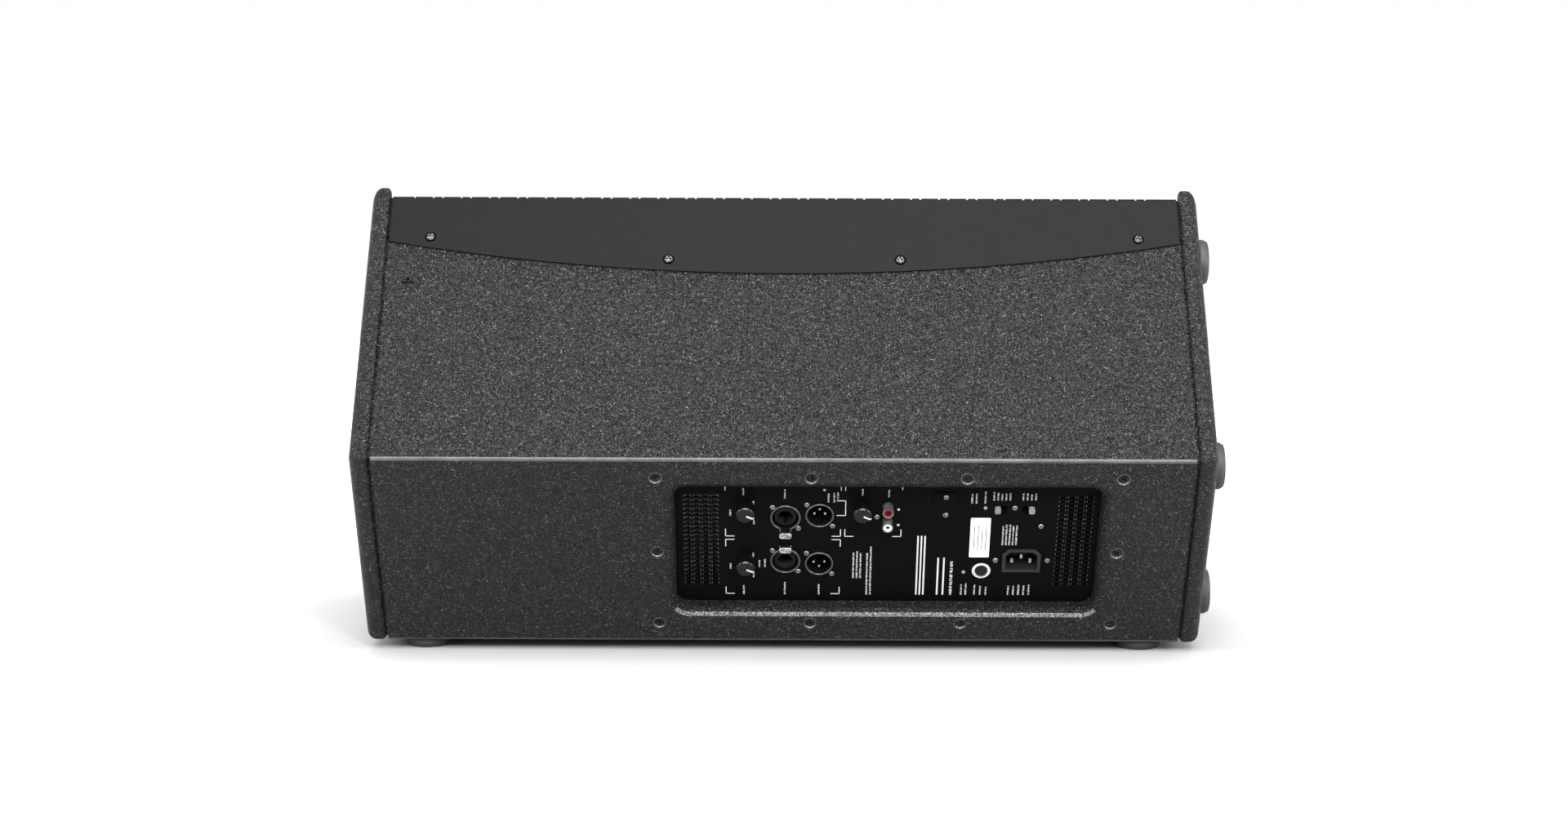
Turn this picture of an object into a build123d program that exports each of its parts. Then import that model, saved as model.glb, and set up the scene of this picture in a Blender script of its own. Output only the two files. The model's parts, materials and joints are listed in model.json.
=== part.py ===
from build123d import *
import os
from math import sin, cos, tan, radians, sqrt

# A powered loudspeaker cabinet with a 12 inch woofer and a horn, lying on its side as a stage monitor.
#
# Millimetres. The cabinet is drawn in its own frame and turned at the very end:
#   x  along the cabinet's length, y  out of the rear face, z  along the rear face, upwards.
# The rear face is the plane y = 0. The section is a trapezoid that widens towards the grille at y < 0.

# ---- driving dimensions -------------------------------------------------------------------------------
LENGTH = 650.0            # over the two end plates
REAR_WIDTH = 172.0        # rear face, across the cabinet
SIDE_DEPTH = 242.0        # along a side, from the rear edge to the front of an end plate
TAPER = 27.0              # degrees that each side leans out from the cabinet's middle plane
PLY = 15.0                # plywood panels and end plates
BAFFLE = 18.0             # baffle board
GROOVE_WIDTH = 2.0        # dark groove between the body and each end plate
GROOVE_DEPTH = 3.0
GROOVE_STOP = 8.0         # the groove ends this far short of the side panels' front ends
REAR_ROUND = 3.0          # rounding of the two long rear edges
FRONT_ROUND = 4.0         # rounding of the side panels' front outer edges, under the grille's folds
FOOT_HEIGHT = 8.0
FOOT_RADIUS = 18.0
SHEET = 1.5               # steel of the grille
GRILLE_SETBACK = 6.2      # grille's front face behind the front of the end plates
GRILLE_GAP = 1.2          # between each end of the grille and the end plate
FLANGE_EDGE = 163.2       # from the rear edge to the grille's flange, at mid-length
FLANGE_RADIUS = 1690.0    # of the flange's curved edge
FOAM = 5.0                # acoustic foam behind the grille

WINDOW_WIDTH = 323.0      # opening in the rear panel, which shows the amplifier's panel
WINDOW_HEIGHT = 116.0
WINDOW_RIGHT = 79.0       # its middle, right of the cabinet's middle as one stands behind it
WINDOW_CORNER = 10.0
WINDOW_LIP = 8.0
GASKET = 1.0
PANEL = 2.0               # amplifier's panel
CHASSIS_DEPTH = 44.0
CHASSIS_SHEET = 1.2
BOARD = 1.6

WOOFER_X = -150.0
HORN_X = 185.0
PORT_X = 42.0
PORT_Z = 62.0
POLE_Y = -95.0
POLE_RADIUS = 18.0        # 36 mm socket for a 35 mm pole
POLE_DEPTH = 85.0
HANDLE_Y = -95.0
HANDLE_HALF_Y = 38.0      # half of the handle cup's opening
HANDLE_HALF_Z = 75.0
RUNNING = 0.06            # radial clearance of a shaft that turns in its bush
FREE = 0.4                # gap round a button or slider

# ---- derived places -----------------------------------------------------------------------------------
SINE = sin(radians(TAPER))
COSINE = cos(radians(TAPER))
HALF = LENGTH / 2
BODY_HALF = HALF - PLY                      # inner faces of the end plates
FRONT_Y = -SIDE_DEPTH * COSINE              # front of the end plates
GRILLE_Y = FRONT_Y + GRILLE_SETBACK         # front face of the grille
WALL_Y = GRILLE_Y + SHEET                   # front edges of the side panels
BAFFLE_Y = WALL_Y + 17.9                    # front face of the baffle
BAFFLE_BACK = BAFFLE_Y + BAFFLE
FACE = -PLY - GASKET                        # outer face of the amplifier's panel
BACK = FACE - PANEL                         # inner face of the amplifier's panel
CHASSIS_Y = BACK - CHASSIS_DEPTH
BOARD_Y = BACK - 26.0                       # front face of the input board
END_SHIFT = FOOT_HEIGHT / 2                 # the feet on one end plate move the middle of the length

# Places on the amplifier's panel: right of the cabinet's middle, and down from its upper rear edge.
INPUTS = [(1.5, 64.4, -1), (1.5, 105.6, 1)]           # with the side that the latch tab is on
OUTPUTS = [(27.6, 62.1, 1), (27.6, 108.1, -1)]        # with the side that the single pin is on
KNOBS = [(-29.0, 54.3), (-29.0, 105.2), (60.0, 54.3)]
PHONO_RED = (79.4, 54.0)
PHONO_WHITE = (79.4, 67.8)
SLIDERS = [(165.3, 56.5, -1), (186.9, 56.5, 1)]       # with the end that the slider rests at
POWER_BUTTON = (153.1, 114.8)
INLET = (183.6, 104.4)
SIGNAL_LIGHT = (153.7, 54.8)
POWER_LIGHT = (139.4, 116.3)
RESET_HOLE = (144.9, 56.3)
BLANKING = (123.4, 52.2)
LABEL = (150.7, 83.0)
LOOSE_SCREWS = [(71.3, 63.3), (176.0, 54.3), (196.9, 71.7)]
BLANKING_SCREWS = [(123.4, 43.9), (123.4, 60.6)]
JACK_RADIUS = 3.7
CONNECTOR_SCREW = 9.9                                 # half of a socket's diagonal screw pattern
INLET_SCREW = 20.0
VENTS = [-62.9, 222.6]                                # middles of the two vent fields
VENT_COLUMNS = 4
VENT_ROWS = 21
VENT_PITCH = (7.0, 4.16)
VENT_SLOT = (4.5, 2.4)
SLIDER_TRAVEL = 4.4
SLIDER_SIZE = (4.4, 5.6)

MODULE_SCREW_COLUMNS = [-96.1, 20.8, 137.6, 254.3]
MODULE_SCREW_ROW = 69.0
MODULE_SCREW_SUNK = 1.1                               # heads below the rear panel's face
GRILLE_SCREWS = [(276.0, 195.5), (90.0, 175.6)]       # along the length, and from the rear edge
RIGGING = (291.0, 154.5)
SIDE_FEET = [25.0, 165.0]                             # from the rear edge
SIDE_FOOT_X = 280.0
END_FEET = [(-32.0, 60.0), (-186.0, 148.0)]


# ---- drawing helpers ----------------------------------------------------------------------------------
def block(x0, x1, y0, y1, z0, z1):
    """A box between two corners."""
    middle = ((x0 + x1) / 2, (y0 + y1) / 2, (z0 + z1) / 2)
    return Pos(*middle) * Box(abs(x1 - x0), abs(y1 - y0), abs(z1 - z0))


def rod(x, z, y0, y1, radius):
    """A round bar along y."""
    return Pos(x, (y0 + y1) / 2, z) * Rot(90, 0, 0) * Cylinder(radius, abs(y1 - y0))


def turned(x, z, *outline):
    """A solid turned about a line along y, from points given as (radius, y)."""
    face = make_face(Polyline(*outline, close=True))
    return Pos(x, 0, z) * revolve(face, axis=Axis.Y)


def prism(outline, x0, x1):
    """A bar along x with a polygon section, from points given as (y, z)."""
    face = Plane.YZ.offset(x0) * make_face(Polyline(*outline, close=True))
    return extrude(face, amount=x1 - x0)


def plate(outline, x, z, y0, y1):
    """A flat plate parallel to the rear face, from a sketch centred on its place."""
    face = Plane((x, y0, z), x_dir=(1, 0, 0), z_dir=(0, -1, 0)) * outline
    return extrude(face, amount=y0 - y1)


def half_width(y, inset):
    """Half of the section's width at a depth, with its sides moved in by inset."""
    return (REAR_WIDTH / 2 * COSINE - inset - y * SINE) / COSINE


def section(y_rear, y_front, inset):
    """The cabinet's trapezoid section between two depths."""
    rear = half_width(y_rear, inset)
    front = half_width(y_front, inset)
    return [(y_rear, -rear), (y_rear, rear), (y_front, front), (y_front, -front)]


def on_side(sign, x, along, lift=0.0):
    """A place on the outside of the upper (1) or lower (-1) side, with its z axis pointing out."""
    y = -along * COSINE + lift * SINE
    z = sign * (REAR_WIDTH / 2 + along * SINE + lift * COSINE)
    return Plane((x, y, z), x_dir=(1, 0, 0), z_dir=(0, SINE, sign * COSINE)).location


def place(right, down):
    """A panel place as x and z."""
    return -right, REAR_WIDTH / 2 - down


def fuse(shapes):
    """One solid from several that touch or overlap."""
    whole = shapes[0]
    for shape in shapes[1:]:
        whole = whole + shape
    return whole


def cross(size, depth):
    """The recess of a cross-head screw, cut down from z = 0."""
    arm = Pos(0, 0, -depth / 2) * Box(size, size / 4, depth)
    return arm + Rot(0, 0, 90) * arm


def pan_screw(head, height, shank, length):
    """A pan-head screw standing on z = 0, with its shank below."""
    top = fillet(Cylinder(head, height).edges().group_by(Axis.Z)[-1], height * 0.6)
    body = Pos(0, 0, height / 2) * top
    body = body + Pos(0, 0, -length / 2) * Cylinder(shank, length)
    return body - Pos(0, 0, height) * cross(head * 1.25, height * 0.55)


def flat_screw(head, depth, shank, length, hole):
    """A countersunk screw whose head is level with z = 0, with a round socket."""
    body = Pos(0, 0, -depth / 2) * Cone(shank, head, depth)
    body = body + Pos(0, 0, -length / 2) * Cylinder(shank, length)
    return body - Pos(0, 0, -depth * 0.4) * Cylinder(hole, depth * 0.8)


def facing_rear(x, y, z):
    """A place whose z axis points out of the rear face."""
    return Plane((x, y, z), x_dir=(1, 0, 0), z_dir=(0, 1, 0)).location


def facing_front(x, y, z):
    """A place whose z axis points out of the front."""
    return Plane((x, y, z), x_dir=(1, 0, 0), z_dir=(0, -1, 0)).location


def facing_end(sign, x, y, z):
    """A place whose z axis points out of an end plate."""
    return Plane((x, y, z), x_dir=(0, 1, 0), z_dir=(sign, 0, 0)).location


parts = {}


def keep(name, *solids):
    """Turns a sub-part onto its feet and stores it under its name."""
    lift = FOOT_HEIGHT + REAR_WIDTH / 2 * COSINE
    floor_frame = Pos(END_SHIFT, SIDE_DEPTH / 2, lift) * Rot(-TAPER, 0, 0)
    parts[name] = [floor_frame * solid for solid in solids]


# ---- cabinet ------------------------------------------------------------------------------------------
def make_cabinet():
    outer = prism(section(0, WALL_Y, 0), -BODY_HALF, BODY_HALF)
    rear_edges = [e for e in outer.edges().filter_by(Axis.X) if abs(e.center().Y) < 0.01]
    outer = fillet(rear_edges, REAR_ROUND)
    front_edges = [e for e in outer.edges().filter_by(Axis.X) if abs(e.center().Y - WALL_Y) < 0.01]
    outer = fillet(front_edges, FRONT_ROUND)
    shell = outer - prism(section(-PLY, WALL_Y - 10, PLY), -BODY_HALF, BODY_HALF)
    for x in (-BODY_HALF, BODY_HALF - GROOVE_WIDTH):
        band = prism(section(1, WALL_Y + GROOVE_STOP, -1), x, x + GROOVE_WIDTH)
        core = prism(section(-GROOVE_DEPTH, WALL_Y - 2, GROOVE_DEPTH), x, x + GROOVE_WIDTH)
        shell = shell - (band - core)
    slope = (REAR_WIDTH / 2 - half_width(-PLY, PLY)) / PLY
    over = 5.0
    wide = REAR_WIDTH / 2 + slope * over
    narrow = half_width(-PLY, PLY)
    wedge = prism([(over, -wide), (over, wide), (-PLY, narrow), (-PLY, -narrow)], -HALF, HALF)
    rear = shell & wedge
    sides = shell - wedge
    make_rear_panel(rear)
    for sign, name in ((1, "side_panel_upper"), (-1, "side_panel_lower")):
        reach = block(-HALF, HALF, -400, 50, 0, sign * 400)
        make_side_panel(name, sign, sides & reach)


def make_rear_panel(rear):
    x, z = place(WINDOW_RIGHT, REAR_WIDTH / 2)
    opening = RectangleRounded(WINDOW_WIDTH, WINDOW_HEIGHT, WINDOW_CORNER)
    rear = rear - plate(opening, x, z, 1, -PLY - 1)
    lip = []
    for edge in rear.edges():
        spot = edge.center()
        inside = abs(spot.X - x) < WINDOW_WIDTH / 2 + 1 and abs(spot.Z) < WINDOW_HEIGHT / 2 + 1
        if inside and abs(spot.Y) < 0.01:
            lip.append(edge)
    rear = fillet(lip, WINDOW_LIP)
    for sx, sz in module_screw_places():
        rear = rear - rod(sx, sz, 1, -PLY - 1, 2.2)
        rear = rear - facing_rear(sx, 0, sz) * Pos(0, 0, -1.3) * Cone(2.2, 5.0, 3.0)
    keep("rear_panel", rear)


def make_side_panel(name, sign, panel):
    for x, along in side_screw_places(GRILLE_SCREWS):
        panel = panel - on_side(sign, x, along) * Pos(0, 0, -6) * Cylinder(2.0, 12.4)
    x, along = RIGGING
    panel = panel - on_side(sign, x, along) * Pos(0, 0, -PLY / 2) * Cylinder(5.5, PLY + 1)
    panel = panel - on_side(sign, x, along) * Pos(0, 0, -2.2) * Cone(5.5, 9.4, 4.5)
    if sign < 0:
        for x in (-SIDE_FOOT_X, SIDE_FOOT_X):
            for along in SIDE_FEET:
                panel = panel - on_side(sign, x, along) * Pos(0, 0, -6) * Cylinder(2.0, 12.4)
    keep(name, panel)


def side_screw_places(places):
    return [(side * x, along) for x, along in places for side in (-1, 1)]


def module_screw_places():
    spots = []
    for column, right in enumerate(MODULE_SCREW_COLUMNS):
        rows = (-1, 0, 1) if column in (0, 3) else (-1, 1)
        for row in rows:
            spots.append((-right, row * MODULE_SCREW_ROW))
    return spots


def make_end_plates():
    for sign, name in ((1, "end_plate_top"), (-1, "end_plate_bottom")):
        inner = sign * BODY_HALF
        outer = sign * HALF
        board = prism(section(0, FRONT_Y, 0), min(inner, outer), max(inner, outer))
        faces = board.faces().sort_by(Axis.X)
        far = faces[-1] if sign > 0 else faces[0]
        board = fillet(far.edges(), 8.0)
        near = board.faces().sort_by(Axis.X)[0 if sign > 0 else -1]
        board = fillet(near.edges(), 3.0)
        if sign > 0:
            cut_out = RectangleRounded(2 * HANDLE_HALF_Y + 0.6, 2 * HANDLE_HALF_Z + 0.6, 14)
            board = board - extrude(facing_end(1, inner - 1, HANDLE_Y, 0) * cut_out, amount=PLY + 2)
            flange = RectangleRounded(2 * HANDLE_HALF_Y + 20.6, 2 * HANDLE_HALF_Z + 20.6, 16)
            board = board - extrude(facing_end(1, outer - 3, HANDLE_Y, 0) * flange, amount=4)
            for y, z in handle_screw_places():
                board = board - facing_end(1, outer, y, z) * Pos(0, 0, -6) * Cylinder(1.6, 13)
        else:
            spot = facing_end(-1, outer, POLE_Y, 0)
            board = board - spot * Pos(0, 0, -PLY / 2) * Cylinder(POLE_RADIUS + 4.2, PLY + 2)
            board = board - spot * Pos(0, 0, -1.5) * Cylinder(40.3, 3.0)
            for y, z in pole_screw_places():
                board = board - facing_end(-1, outer, y, z) * Pos(0, 0, -6) * Cylinder(1.6, 13)
            for y, z in end_foot_places():
                board = board - facing_end(-1, outer, y, z) * Pos(0, 0, -6) * Cylinder(2.0, 12.4)
        keep(name, board)


def handle_screw_places():
    return [(HANDLE_Y + a * (HANDLE_HALF_Y + 5), b * (HANDLE_HALF_Z - 12)) for a in (-1, 1) for b in (-1, 1)]


def pole_screw_places():
    reach = 31.0 / sqrt(2)
    return [(POLE_Y + a * reach, b * reach) for a in (-1, 1) for b in (-1, 1)]


def end_foot_places():
    return [(y, side * z) for y, z in END_FEET for side in (-1, 1)]


def make_baffle():
    board = prism(section(BAFFLE_BACK, BAFFLE_Y, PLY), -BODY_HALF, BODY_HALF)
    board = board - rod(WOOFER_X, 0, BAFFLE_Y - 1, BAFFLE_Y + 6, 155.5)
    board = board - rod(WOOFER_X, 0, BAFFLE_Y - 1, BAFFLE_BACK + 1, 142.0)
    mouth = RectangleRounded(180, 180, 24)
    board = board - plate(mouth, HORN_X, 0, BAFFLE_BACK + 1, BAFFLE_Y - 1)
    for sign in (-1, 1):
        board = board - rod(PORT_X, sign * PORT_Z, BAFFLE_Y - 1, BAFFLE_BACK + 1, 33.2)
    for x, y, z in baffle_screw_places():
        board = board - rod(x, z, y - 1, y + 14, 2.2)
    keep("baffle", board)


def baffle_screw_places():
    """The screws that hold the woofer and the horn, with the height of the face under each head."""
    spots = []
    for step in range(8):
        angle = radians(22.5 + 45 * step)
        spots.append((WOOFER_X + 149.5 * cos(angle), BAFFLE_Y, 149.5 * sin(angle)))
    for a in (-1, 0, 1):
        for b in (-1, 0, 1):
            if a or b:
                spots.append((HORN_X + a * 95, BAFFLE_Y - 5, b * 95))
    return spots


# ---- grille -------------------------------------------------------------------------------------------
def make_grille():
    length = BODY_HALF - GRILLE_GAP
    folded = prism(section(WALL_Y + 80, GRILLE_Y, -SHEET), -length, length)
    folds = [e for e in folded.edges().filter_by(Axis.X) if abs(e.center().Y - GRILLE_Y) < 0.01]
    folded = fillet(folds, 2.5)
    folded = folded - prism(section(WALL_Y + 81, WALL_Y, 0), -length, length)
    keepers = []
    for sign in (-1, 1):
        near = SIDE_DEPTH - 10
        middle = near - FLANGE_EDGE - FLANGE_RADIUS
        sheet = Pos(0, middle) * Circle(FLANGE_RADIUS) & Rectangle(2 * length, 200)
        zone = on_side(sign, 0, near, -2) * Rot(0, 0, 0 if sign > 0 else 180)
        keepers.append(zone * extrude(sheet, amount=6))
    front = prism(section(WALL_Y + 3, GRILLE_Y - 1, -SHEET - 1), -length, length)
    grille = folded & fuse([front, keepers[0], keepers[1]])
    for sign in (-1, 1):
        for x, along in side_screw_places(GRILLE_SCREWS):
            grille = grille - on_side(sign, x, along) * Cylinder(2.3, 8)
            grille = grille - on_side(sign, x, along, SHEET - 0.4) * Cone(3.9, 4.7, 1.0)
    keep("grille", grille)

    foam = prism(section(WALL_Y + FOAM, WALL_Y, PLY + 1), -BODY_HALF + 1, BODY_HALF - 1)
    keep("grille_foam", foam)

    screws = []
    for sign in (-1, 1):
        for x, along in side_screw_places(GRILLE_SCREWS):
            screws.append(on_side(sign, x, along, SHEET - 0.9) * pan_screw(3.7, 2.3, 1.95, 12.6))
    keep("grille_screws", *screws)


# ---- woofer -------------------------------------------------------------------------------------------
def make_woofer():
    y = BAFFLE_Y
    basket = turned(
        WOOFER_X, 0,
        (138, y), (155, y), (155, y + 6), (141.5, y + 6), (141.5, y + 18), (78, y + 72), (66, y + 80),
        (45, y + 80), (45, y + 76.5), (64, y + 76.5), (66, y + 65), (72, y + 65), (138, y + 14),
    )
    window = turned(
        WOOFER_X, 0, (86, y + 24), (150, y + 24), (150, y + 60), (86, y + 60),
    )
    spokes = fuse([
        Pos(WOOFER_X, 0, 0) * Rot(0, 45 * step, 0) * block(60, 160, y + 20, y + 64, -11, 11)
        for step in range(8)
    ])
    basket = basket - (window - spokes)
    for sx, sy, sz in baffle_screw_places()[:8]:
        basket = basket - rod(sx, sz, y - 1, y + 7, 2.2)
    keep("woofer_basket", basket)

    surround = turned(
        WOOFER_X, 0,
        (129, y - 0.2), (129.6, y - 3.4), (131.4, y - 5.8), (134, y - 6.8), (136.6, y - 5.8),
        (138.4, y - 3.4),
        (139.2, y - 1.2), (144.6, y - 1.2), (144.6, y), (138.2, y), (137.4, y - 2.9), (136, y - 4.8),
        (134, y - 5.6), (132, y - 4.8), (130.6, y - 2.9), (130, y - 0.2),
    )
    keep("woofer_surround", surround)

    neck = 38.0
    cone = turned(
        WOOFER_X, 0,
        (neck, y + 48.6), (neck, y + 50), (84, y + 28), (128, y + 2.6), (128, y + 1), (84, y + 26.4),
    )
    keep("woofer_cone", cone)

    cap = turned(WOOFER_X, 0, *dome_outline(46.0, 16.0, 1.0, y + 44.5))
    keep("woofer_dust_cap", cap)

    coil = turned(
        WOOFER_X, 0,
        (37.4, y + 48), (37.9, y + 48), (37.9, y + 78), (38.9, y + 78), (38.9, y + 91), (37.4, y + 91),
    )
    keep("woofer_voice_coil", coil)

    spider = [(38.5, y + 64)]
    crests = 5
    step = (71.5 - 38.5) / (2 * crests)
    for turn in range(2 * crests):
        spider.append((38.5 + step * (turn + 0.5), y + (62.2 if turn % 2 else 64)))
    spider.append((71.5, y + 64))
    under = [(radius, depth + 0.9) for radius, depth in reversed(spider)]
    keep("woofer_spider", turned(WOOFER_X, 0, *spider, *under))

    keep("woofer_top_plate", turned(
        WOOFER_X, 0, (39.5, y + 80), (66, y + 80), (66, y + 88), (39.5, y + 88),
    ))
    keep("woofer_magnet", turned(
        WOOFER_X, 0, (47, y + 88), (64, y + 88), (64, y + 104), (47, y + 104),
    ))
    keep("woofer_back_plate", turned(
        WOOFER_X, 0,
        (10, y + 80), (36.5, y + 80), (36.5, y + 104), (65, y + 104), (65, y + 112), (10, y + 112),
    ))


def dome_outline(radius, height, thick, y):
    """A thin dome that bulges to the front: outer points, then inner points."""
    outer = []
    inner = []
    steps = 8
    for step in range(steps + 1):
        share = step / steps
        outer.append((radius * share, y - height * (1 - share ** 2)))
        inner.append(((radius - thick) * share, y - (height - thick) * (1 - share ** 2)))
    return outer + inner[::-1]


def make_baffle_screws():
    screws = [facing_front(x, y, z) * pan_screw(4.5, 2.6, 2.1, 14) for x, y, z in baffle_screw_places()]
    keep("baffle_screws", *screws)


# ---- horn, driver and ports ---------------------------------------------------------------------------
def horn_section(y, size, corner):
    return Plane((HORN_X, y, 0), x_dir=(1, 0, 0), z_dir=(0, -1, 0)) * RectangleRounded(size, size, corner)


def make_horn():
    y = BAFFLE_Y
    wall = 6.0
    inside = loft([
        horn_section(y + 95, 25.4, 12.6), horn_section(y + 45, 84, 30), horn_section(y - 5.5, 166, 22),
    ])
    outside = loft([
        horn_section(y + 95, 25.4 + wall, 15), horn_section(y + 45, 84 + wall, 32),
        horn_section(y - 5, 166 + wall, 24),
    ])
    flange = plate(RectangleRounded(205, 205, 14), HORN_X, 0, y, y - 5)
    collar = rod(HORN_X, 0, y + 89, y + 95, 44)
    body = fuse([outside, flange, collar]) - inside
    body = body - rod(HORN_X, 0, y + 88, y + 96, 12.7)
    for sx, sy, sz in baffle_screw_places()[8:]:
        body = body - rod(sx, sz, sy - 1, y + 1, 2.3)
    keep("horn", body)

    driver = turned(
        HORN_X, 0,
        (12.7, y + 95), (46, y + 95), (46, y + 102), (50, y + 102), (50, y + 128), (44, y + 128),
        (44, y + 148), (40, y + 152), (0, y + 152), (0, y + 146), (12.7, y + 120),
    )
    keep("compression_driver", driver)


def make_ports():
    y = BAFFLE_Y
    tubes = []
    for sign in (-1, 1):
        tubes.append(turned(
            PORT_X, sign * PORT_Z,
            (34, y - 2), (37, y - 2), (37, y), (33, y), (33, y + 74), (30, y + 74), (30, y + 4), (31, y + 1),
        ))
    keep("port_tubes", *tubes)


# ---- amplifier module ---------------------------------------------------------------------------------
def inlet_outline(width, height, cut):
    """A mains inlet's outline, with its two upper corners cut off."""
    w = width / 2
    h = height / 2
    points = [(-w, -h), (w, -h), (w, h - cut), (w - cut, h), (-w + cut, h), (-w, h - cut)]
    return make_face(Polyline(*points, close=True))


def blanking_outline():
    """A small cover with two ears."""
    body = RectangleRounded(17.0, 24.0, 3.0)
    ears = RectangleRounded(21.6, 10.0, 4.0)
    return body + ears


def connector_screw_places():
    spots = []
    for right, down, _ in INPUTS + OUTPUTS:
        spots.append((right - CONNECTOR_SCREW, down - CONNECTOR_SCREW))
        spots.append((right + CONNECTOR_SCREW, down + CONNECTOR_SCREW))
    return spots


def panel_screw_places():
    """Every small screw on the panel, with the height of the face under its head."""
    spots = [(right, down, FACE) for right, down in connector_screw_places() + LOOSE_SCREWS]
    spots += [(INLET[0] + side * INLET_SCREW, INLET[1], FACE) for side in (-1, 1)]
    spots += [(right, down, FACE + 1.0) for right, down in BLANKING_SCREWS]
    return spots


def panel_hole(panel, right, down, outline):
    x, z = place(right, down)
    return panel - plate(outline, x, z, FACE + 1, BACK - 1)


def make_amp_panel():
    left, right = MODULE_SCREW_COLUMNS[0] - 8, MODULE_SCREW_COLUMNS[-1] + 8
    panel = block(-right, -left, BACK, FACE, -75, 75)
    for x, z in module_screw_places():
        panel = panel - rod(x, z, FACE + 1, BACK - 1, 2.2)
    for right, down, side in INPUTS:
        panel = panel_hole(panel, right, down, Circle(11.65))
        panel = panel_hole(panel, right, down - side * 13.9, Rectangle(7.0, 3.4))
    for right, down, _ in OUTPUTS:
        panel = panel_hole(panel, right, down, Circle(11.15))
    for right, down in KNOBS:
        panel = panel_hole(panel, right, down, Circle(3.8))
    for right, down in (PHONO_RED, PHONO_WHITE):
        panel = panel_hole(panel, right, down, Circle(4.3))
    for right, down, _ in SLIDERS:
        panel = panel_hole(panel, right, down, RectangleRounded(10.4, 7.2, 2.2))
    panel = panel_hole(panel, *POWER_BUTTON, Circle(4.5 + FREE))
    panel = panel_hole(panel, *INLET, inlet_outline(28.2, 20.2, 4.4))
    panel = panel_hole(panel, *SIGNAL_LIGHT, Circle(1.55))
    panel = panel_hole(panel, *POWER_LIGHT, Circle(1.55))
    panel = panel_hole(panel, *RESET_HOLE, Circle(1.0))
    for right, down, _ in panel_screw_places():
        panel = panel_hole(panel, right, down, Circle(1.3))
    for middle in VENTS:
        slots = Sketch()
        for column in range(VENT_COLUMNS):
            for row in range(VENT_ROWS):
                across = VENT_PITCH[0] * (column - (VENT_COLUMNS - 1) / 2)
                along = VENT_PITCH[1] * (row - (VENT_ROWS - 1) / 2)
                slots += Pos(across, along) * Rectangle(*VENT_SLOT)
        panel = panel_hole(panel, middle, REAR_WIDTH / 2, slots)
    keep("amp_panel", panel)

    left, right = MODULE_SCREW_COLUMNS[0] - 8, MODULE_SCREW_COLUMNS[-1] + 8
    gasket = block(-right, -left, FACE, -PLY, -75, 75)
    x, z = place(WINDOW_RIGHT, REAR_WIDTH / 2)
    gasket = gasket - plate(Rectangle(WINDOW_WIDTH + 4, WINDOW_HEIGHT + 4), x, z, 0, FACE - 1)
    for sx, sz in module_screw_places():
        gasket = gasket - rod(sx, sz, 0, FACE - 1, 2.2)
    keep("amp_gasket", gasket)

    sunk = MODULE_SCREW_SUNK
    screws = [facing_rear(x, -sunk, z) * flat_screw(3.6, 1.6, 2.1, 19, 1.7) for x, z in module_screw_places()]
    keep("module_screws", *screws)
    small = []
    for right, down, y in panel_screw_places():
        x, z = place(right, down)
        small.append(facing_rear(x, y, z) * pan_screw(2.2, 1.3, 1.25, 5.5))
    keep("panel_screws", *small)


def make_chassis():
    x0, x1 = -250.0, 94.0
    tray = block(x0, x1, CHASSIS_Y, BACK, -60, 60)
    wall = CHASSIS_SHEET
    tray = tray - block(x0 + wall, x1 - wall, CHASSIS_Y + wall, BACK + 1, -60 + wall, 60 - wall)
    keep("amp_chassis", tray)

    floor = CHASSIS_Y + CHASSIS_SHEET
    fins = [block(44, 88, floor, floor + 5, -52, 52)]
    for fin in range(8):
        x = 44 + fin * 6.0
        fins.append(block(x, x + 2, floor + 4, BACK - 8, -52, 52))
    keep("heatsink", fuse(fins))

    keep("input_board", block(-104, 40, BOARD_Y - BOARD, BOARD_Y, -54, 54))
    keep("power_board", block(-246, -112, floor + 6, floor + 6 + BOARD, -54, 54))
    top = floor + 6 + BOARD
    core = block(-146, -116, top, top + 22, 12, 44) - block(-137, -125, top + 8, top + 14, 11, 45)
    cans = [rod(-230, z, top, top + 22, 9) for z in (-28, 0, 28)]
    keep("power_parts", core, *cans)


def make_inputs():
    housings = []
    cores = []
    for index, (right, down, side) in enumerate(INPUTS):
        x, z = place(right, down)
        front = rod(x, z, FACE + 1, BOARD_Y, 11.5)
        rear = block(x - 12.5, x + 12.5, BOARD_Y, BACK, z - side * 12.4, z + side * 17.4)
        slot = block(x - 3.5, x + 3.5, BACK - 16, BACK + 1, z + side * 12.2, z + side * 15.6)
        housing = front + rear - slot
        for sign in (-1, 1):
            offset = sign * CONNECTOR_SCREW
            housing = housing - rod(x + offset, z + offset, BACK + 1, BACK - 5, 1.3)
        housing = housing - rod(x, z, FACE + 2, BACK - 18, 9.8) - rod(x, z, FACE + 2, BACK - 22, JACK_RADIUS)
        housings.append(housing)

        core = rod(x, z, FACE - 0.8, BACK - 18, 8.3) - rod(x, z, FACE + 2, BACK - 19, JACK_RADIUS)
        core = core - Pos(x, FACE - 2.4, z) * Rot(-90, 0, 0) * Cone(JACK_RADIUS, 5.5, 3.4)
        for angle in (0, 180, 90 * side):
            px = x + 4.6 * cos(radians(angle))
            pz = z + 4.6 * sin(radians(angle))
            core = core - rod(px, pz, FACE + 2, BACK - 12, 1.5)
        cores.append(core)

        middle = z + side * 13.9
        stem = block(x - 3, x + 3, BACK - 12, FACE + 4, middle - 1.25, middle + 1.25)
        pad = plate(RectangleRounded(10.0, 5.4, 2.4), x, z + side * 13.75, FACE + 3.6, FACE + 6.2)
        pad = fillet(pad.edges().group_by(Axis.Y)[-1], 0.7)
        keep(("latch_tab_upper", "latch_tab_lower")[index], stem + pad)
    keep("input_sockets", *housings)
    keep("input_cores", *cores)


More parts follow.
